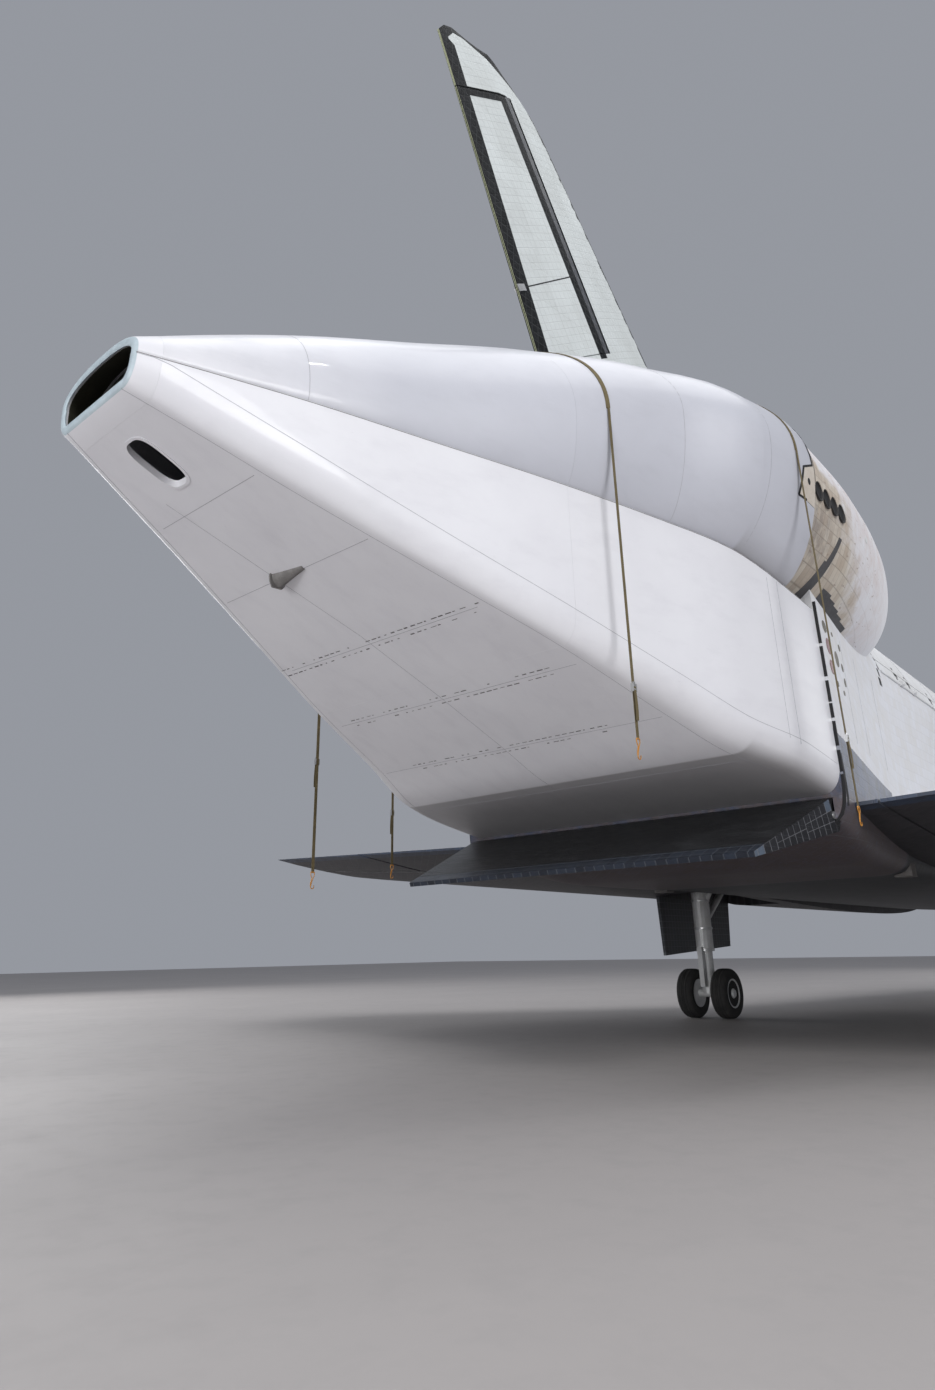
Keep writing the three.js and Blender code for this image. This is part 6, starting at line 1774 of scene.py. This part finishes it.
@dataclass
class Wings:
    """The wings: main panels, segmented leading edges and the trim of the four elevons."""

    hinge_ends: Rows = ((139.0, 292.195), (468.3, 310.655))
    inboard: Row = (139.0, 309.9)
    outboard: Row = (315.1, 469.3)
    inboard_breaks: Row = (184.0,)
    outboard_breaks: Row = (440.0, 460.0)
    split_y: float = 312.5
    inner_gap: float = 1.4
    rib_gap: float = 0.8
    lips: Row = (4.4, 1.8)
    edge_depth: float = 21.0
    edge_inner_y: float = 164.0
    well: Row = (1040.0, 1200.0, 109.0, 167.0, 296.0)

    @staticmethod
    def blank() -> Form:
        """The whole wing: a closed section at each span station, its points crowded to the front edge."""
        share = np.unique([*np.linspace(0, 1, 34) ** 2.1, 0.9])
        y, s = mesh_grid(stations(96, 468.3, 20, *WING.rows[:, 0]), share)
        lead = WING.straight(y)["leading"]
        above, below = (Skin.wing(face)(lead + s * (trailing_x(y) - lead), y) for face in (1, -1))
        return Form.loft(np.concatenate([above, below[:, :0:-1]], axis=1))

    @staticmethod
    def leading(y: float) -> float:
        """Station of the front edge."""
        return float(WING.straight(y)["leading"])

    def hinge_z(self, y: float) -> float:
        """Height of the straight elevon hinge."""
        (y0, z0), (y1, z1) = self.hinge_ends
        return z0 + (z1 - z0) * (y - y0) / (y1 - y0)

    def nose_radius(self, y: float) -> float:
        """Radius of the room for the elevon's round nose: half the wing there, how far its middle is off, a gap."""
        _, middle, half = Skin.wing_section(ELEVON_HINGE_X, y)
        return float(half + abs(middle - self.hinge_z(y))) + RUNNING_GAP + 0.1

    def room(self, start: float, end: float, breaks: Row) -> list[Form]:
        """What an elevon needs cut from the wing: a box, a round nose and the edges of the skins."""
        x, ends = ELEVON_HINGE_X, [start, *breaks, end]
        cuts = [Form.block((x, start, 200), (x + 160, end, 400))]
        cuts += [Form.bar((x, low, self.hinge_z(low)), (x, high + 0.01, self.hinge_z(high)), self.nose_radius(low),
                          self.nose_radius(high), sides=48) for low, high in zip(ends, ends[1:])]
        for ahead, rise in zip(self.lips, (40, -40)):
            cuts.append(Form.loft([[(a, y, self.hinge_z(y) + b) for a, b in rect(x - ahead, 0, x + 1, rise)]
                                   for y in (start, end)]))
        return cuts

    def edge_plan(self, grow: float) -> Form:
        """The space of the leading edge piece: two lines in plan, drawn down through the wing as rows of quads."""
        span = [self.edge_inner_y - grow, *(y for y in WING.rows[:, 0] if self.edge_inner_y < y < 455), 462.0]
        rows = [[(self.leading(y) + self.edge_depth + grow, y), (self.leading(y) - 60.0, y)] for y in span]
        tip_rear, tip_front = rows[-1][0][0] + 40.0, rows[-1][1][0]
        rows[-1][1] = (tip_front, 520.0)
        rows.append([(tip_rear, 520.0), (tip_front, 520.0)])
        top = np.insert(np.array(rows), 2, 400.0, axis=-1)
        return Form.plate(top, top * (1, 1, 0.5))

    def build(self) -> None:
        """Makes both wings from one blank."""
        blank, hinge, rib = self.blank(), ELEVON_HINGE_X, 1.8 + self.rib_gap
        front, rear, inner, outer, roof = self.well
        cuts = [*self.room(self.inboard[0] - self.inner_gap, self.inboard[1] + self.rib_gap, self.inboard_breaks),
                *self.room(self.outboard[0] - self.rib_gap, self.outboard[1] + 3, self.outboard_breaks),
                Form.block((hinge + 4, self.split_y - 2 * rib, 200), (hinge + 160, self.split_y + 2 * rib, 400)),
                Form.block((front, inner, 200), (rear, outer, roof)), self.edge_plan(TOUCH_GAP)]
        seams = [strip(Skin.wing(face), [(self.leading(y) + ahead, y) for ahead in (0.6, 5, 20)], 0.45, 0.07,
                       (0, 0, face), step=3)
                 for face in (1, -1) for y in np.linspace(self.edge_inner_y + 12, 456, 20)]
        for side in Side:
            word = side.word
            main = carved(f"wing_panel_{word}", blank.on(side), [cut.on(side) for cut in cuts])
            dress(main, WingSkin(), f"wing_{word}")
            edge = carved(f"wing_edge_shell_{word}", blank.on(side), (), [self.edge_plan(0).on(side)])
            dress(edge, Carbon(), f"wing_leading_edge_{word}")
            put("wing_edge_seams", seams, STONE_TILE, side=side, slot="carbon_edge")
            for elevon, (y0, y1) in (("elevon_inboard", self.inboard), ("elevon_outboard", self.outboard)):
                y, ahead = mesh_grid(np.linspace(y0 + 0.5, min(y1, 467.8) - 0.5, 12), [1.5, 0.3])
                line = drape(Skin.wing(1), trailing_x(y) - ahead, y, 0.12, UP, 0.1)
                put(f"{elevon}_edge", line, BLANKET, side=side, body=f"{elevon}_{word}")


@dataclass
class BodyFlap:
    """The body flap, drooped: a wedge with a round nose and slanting ends, tiled there."""

    nose: float = 9.0
    chord: float = 82.0
    droop: float = 22.6
    hinge_half: float = 123.5
    tip_half: float = 111.0
    edge: float = 2.6
    pin: float = 2.0

    def underside(self, share: Array) -> Array:
        """Height of the flap's underside at a share of its length."""
        return -self.nose + (2 * self.nose - self.edge) * share

    def profile(self) -> Array:
        """The flap's section as rows of distance along it and height: nose arc, underside, rear edge, top."""
        arc, share = np.linspace(np.pi / 2, 3 * np.pi / 2, 25), np.linspace(0, 1, 9)[1:]
        return np.concatenate([
            np.stack([self.nose * np.cos(arc), self.nose * np.sin(arc)], axis=-1),
            np.stack([self.chord * share, self.underside(share)], axis=-1), [(self.chord, self.nose)],
            np.stack([self.chord * (1 - share), np.full(8, self.nose)], axis=-1)[:-1]])

    def spot(self, along: Array, up: Array, share: Array | float) -> Array:
        """Points of the flap: the section turned down by the droop, spread across between slanting ends."""
        (x, z), angle = FLAP_HINGE, math.radians(self.droop)
        half = self.hinge_half + (self.tip_half - self.hinge_half) * np.clip(along, 0, None) / self.chord
        return xyz(x + along * math.cos(angle) + up * math.sin(angle), half * share,
                   z - along * math.sin(angle) + up * math.cos(angle))

    def end_face(self, along: Array, level: Array) -> Array:
        """The flap's starboard end, as points from a distance along it and a share of its height."""
        low = self.underside(along / self.chord)
        return self.spot(along, low + (self.nose - low) * level, 1.0)

    def build(self) -> None:
        """Makes the flap, its pins and the tiles of its ends and rear edge."""
        section, body = self.profile(), "body_flap"
        share, index = mesh_grid(np.linspace(-1, 1, 33), np.arange(len(section)))
        skin = Form.loft(self.spot(section[index, 0], section[index, 1], share))
        put("body_flap_skin", skin, FlapSkin(), body, body=body, sharp=28)
        x, z = FLAP_HINGE
        reach = self.hinge_half + RUNNING_GAP - TOUCH_GAP
        put("body_flap_pins", Form.bar((x, 100, z), (x, reach, z), self.pin).both(), BARE_METAL, body=body)
        joints = patch(self.end_face, rect(0.9, 0.02, 81.7, 0.98), 0.06, sunk=0.1)
        put("body_flap_end_joints", joints.both(), FLAP_JOINT, body=body)
        tiles, pale = [], []
        for i, start in enumerate(np.arange(1.0, 80.0, 6.0)):
            rows = 3 if start < 30 else 2 if start < 56 else 1
            for j in range(rows):
                corners = rect(start + 0.2, (j + 0.035) / rows, min(start + 5.6, 81.5), (j + 0.965) / rows)
                is_pale = i > 11 or (i, j) == (0, 2)
                (pale if is_pale else tiles).append(patch(self.end_face, corners, 0.16, sunk=0.1))
        put("body_flap_end_tiles", Form.joined(tiles).both(), FLAP_TILE, body=body)
        put("body_flap_end_pale_tiles", Form.joined(pale).both(), FLAP_PALE_TILE, body=body)


@dataclass
class Gear:
    """The landing gear: tyres with hubs, and collars, pipes and lamps on the legs."""

    nose_x: float = 378.0
    nose_tyre: Row = (9.0, 16.0, 8.8, 2.0)
    nose_collars: Row = (207.4, 237, 267)
    main_x: float = 1173.0
    main_y: float = 136.0
    main_tyre: Row = (17.5, 22.25, 16.0, 3.4)
    main_collars: Row = (38.2, 58, 84)
    tread: Rows = (
        (0.06, 1), (0.07, 0.975), (0.13, 0.975), (0.14, 1), (0.42, 0.998), (0.43, 0.975), (0.49, 0.975),
        (0.5, 0.996), (0.66, 0.982), (0.86, 0.93), (0.97, 0.84), (1.0, 0.74), (0.96, 0.64), (0.80, 0.56))
    dish: Rows = (
        (0.06, 0.50), (0.06, 0.57), (0.12, 0.57), (0.88, 0.57), (0.94, 0.585), (0.94, 0.53), (0.85, 0.50),
        (0.80, 0.36), (0.84, 0.3), (0.9, 0.2))
    lamp: Rows = ((0, 0.6), (0.1, 2.0), (0.9, 2.9), (1, 2.7), (0.9, 2.4), (0.86, 0.4))

    def wheel(self, names: Sequence[str], body: str, spot: Row, tyre: Row, outward: int) -> None:
        """A tyre with four grooves, turned about its axle, and its metal: a dished disc, bolts round it and a cap.

        Args:
            names: of the tyre, the hub and the CAD node that they stand for.
            body: the CAD body that they ride on.
            spot: station and y of the wheel's middle.
            tyre: its distance from the leg, radius, width and the radius of its axle.
            outward: the sign of y on the disc's open side.
        """
        (x, y), (_, radius, width, axle) = spot, tyre
        z, half = GROUND_Z + radius, width / 2
        tread = [(-share, tall) for share, tall in self.tread[::-1]] + [*self.tread]
        profile = [(0.1, radius * 0.4), *((0.5 + 0.5 * s, radius * t) for s, t in tread), (0.9, radius * 0.4)]
        tyre_form = Form.lathe((x, y - half, z), (x, y + half, z), profile, 72)
        put(names[0], tyre_form, RUBBER, names[2], body=body, sharp=45)
        dish = [*((share, size * radius) for share, size in self.dish), (0.93, axle + 0.9), (0.93, axle + 0.3)]
        hub = [Form.lathe((x, y - half * outward, z), (x, y + half * outward, z), dish, 48)]
        for angle in whole_turn(10):
            a, b = x + 0.43 * radius * math.cos(angle), z + 0.43 * radius * math.sin(angle)
            hub.append(Form.bar((a, y + outward * half * 0.6, b), (a, y + outward * half * 0.74, b),
                                0.035 * radius + 0.2, sides=6))
        put(names[1], hub, GEAR_PAINT, body=body)

    @staticmethod
    def collars(x: float, y: float, radius: float, heights: Row) -> list[Form]:
        """Rings round a leg, each with rounded edges."""
        profile = [(0, radius), (0.1, radius + 0.7), (0.9, radius + 0.7), (1, radius)]
        return [Form.lathe((x, y, z), (x, y, z + 2.6), profile, 40) for z in heights]

    def build(self, frame: dict) -> None:
        """Makes every wheel, and dresses the legs and the doors."""
        x, hub_z = self.main_x, GROUND_Z + self.main_tyre[1]
        for side in Side:
            word = side.word
            self.wheel((f"nose_tyre_{word}", f"nose_hub_{word}", f"nose_wheel_{word}"), "nose_wheels",
                       (self.nose_x, side.sign * self.nose_tyre[0]), self.nose_tyre, side.sign)
        for side in Side:
            word = side.word
            for hand_word, hand in (("inner", -1), ("outer", 1)):
                names = [f"main_{kind}_{word}_{hand_word}" for kind in ("tyre", "hub", "wheel")]
                y = side.sign * (self.main_y + hand * self.main_tyre[0])
                self.wheel(names, f"main_wheels_{word}", (x, y), self.main_tyre, side.sign * hand)
            leg = self.collars(x, side.sign * self.main_y, 8.3, [hub_z + rise for rise in self.main_collars])
            put(f"main_leg_collars_{word}", leg, BARE_METAL)
            y = side.sign * (self.main_y + 8.8)
            pipe = through([(x - 3, y, hub_z + 36), (x - 3.4, y, 236), (x - 3, y, 262), (x - 2, y, 292)], 30)
            put(f"main_leg_pipe_{word}", Form.tube(pipe, 0.45), RUBBER)
            coat(frame, GEAR_PAINT, f"main_gear_strut_{word}")
            coat(frame, BLACK_TILE, f"nose_gear_door_{word}", f"main_gear_door_{word}")
        lamp = Form.lathe((self.nose_x - 6.5, 0, 228), (self.nose_x - 9.6, 0, 228), self.lamp, 32)
        put("nose_leg_collars", [*self.collars(self.nose_x, 0, 5.6, self.nose_collars), lamp], BARE_METAL)
        coat(frame, GEAR_PAINT, "nose_gear_strut")
        coat(frame, BARE_METAL, "nose_gear_fork")


def main() -> None:
    """Builds the orbiter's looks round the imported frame, in order."""
    logging.basicConfig(level=logging.INFO, format="%(message)s")
    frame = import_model()
    cad_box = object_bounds()
    view = View()
    view.camera()
    for strap in (Strap("strap_rear", 1694.0, {Side.STARBOARD: 301.0, Side.PORT: 262.0}, 323.0),
                  Strap("strap_front", 1586.0, {Side.STARBOARD: 279.0, Side.PORT: 276.0}, 311.0)):
        strap.build()
    for part in (TailCone(), Forward(), PayloadBay(), AftFuselage(), Pods(), Fin(), Wings(), BodyFlap()):
        part.build()
    Gear().build(frame)
    coat(frame, SOOT_METAL, "main_engine_upper", "main_engine_left", "main_engine_right")
    for side in Side:
        coat(frame, WingSkin(rear_band=True), f"elevon_inboard_{side.word}", f"elevon_outboard_{side.word}")
    coat(frame, Glazing(), "cabin_glass")
    coat(frame, CABIN_PAINT, "flight_deck")
    coat(frame, BLACK_TILE, "rudder_spar")
    view.lamps()
    view.floor()
    boxes = {"cad": cad_box, "visual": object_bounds()}
    {name: [[float(v) for v in corner] for corner in box] for name, box in boxes.items()}


if __name__ == "__main__":
    main()
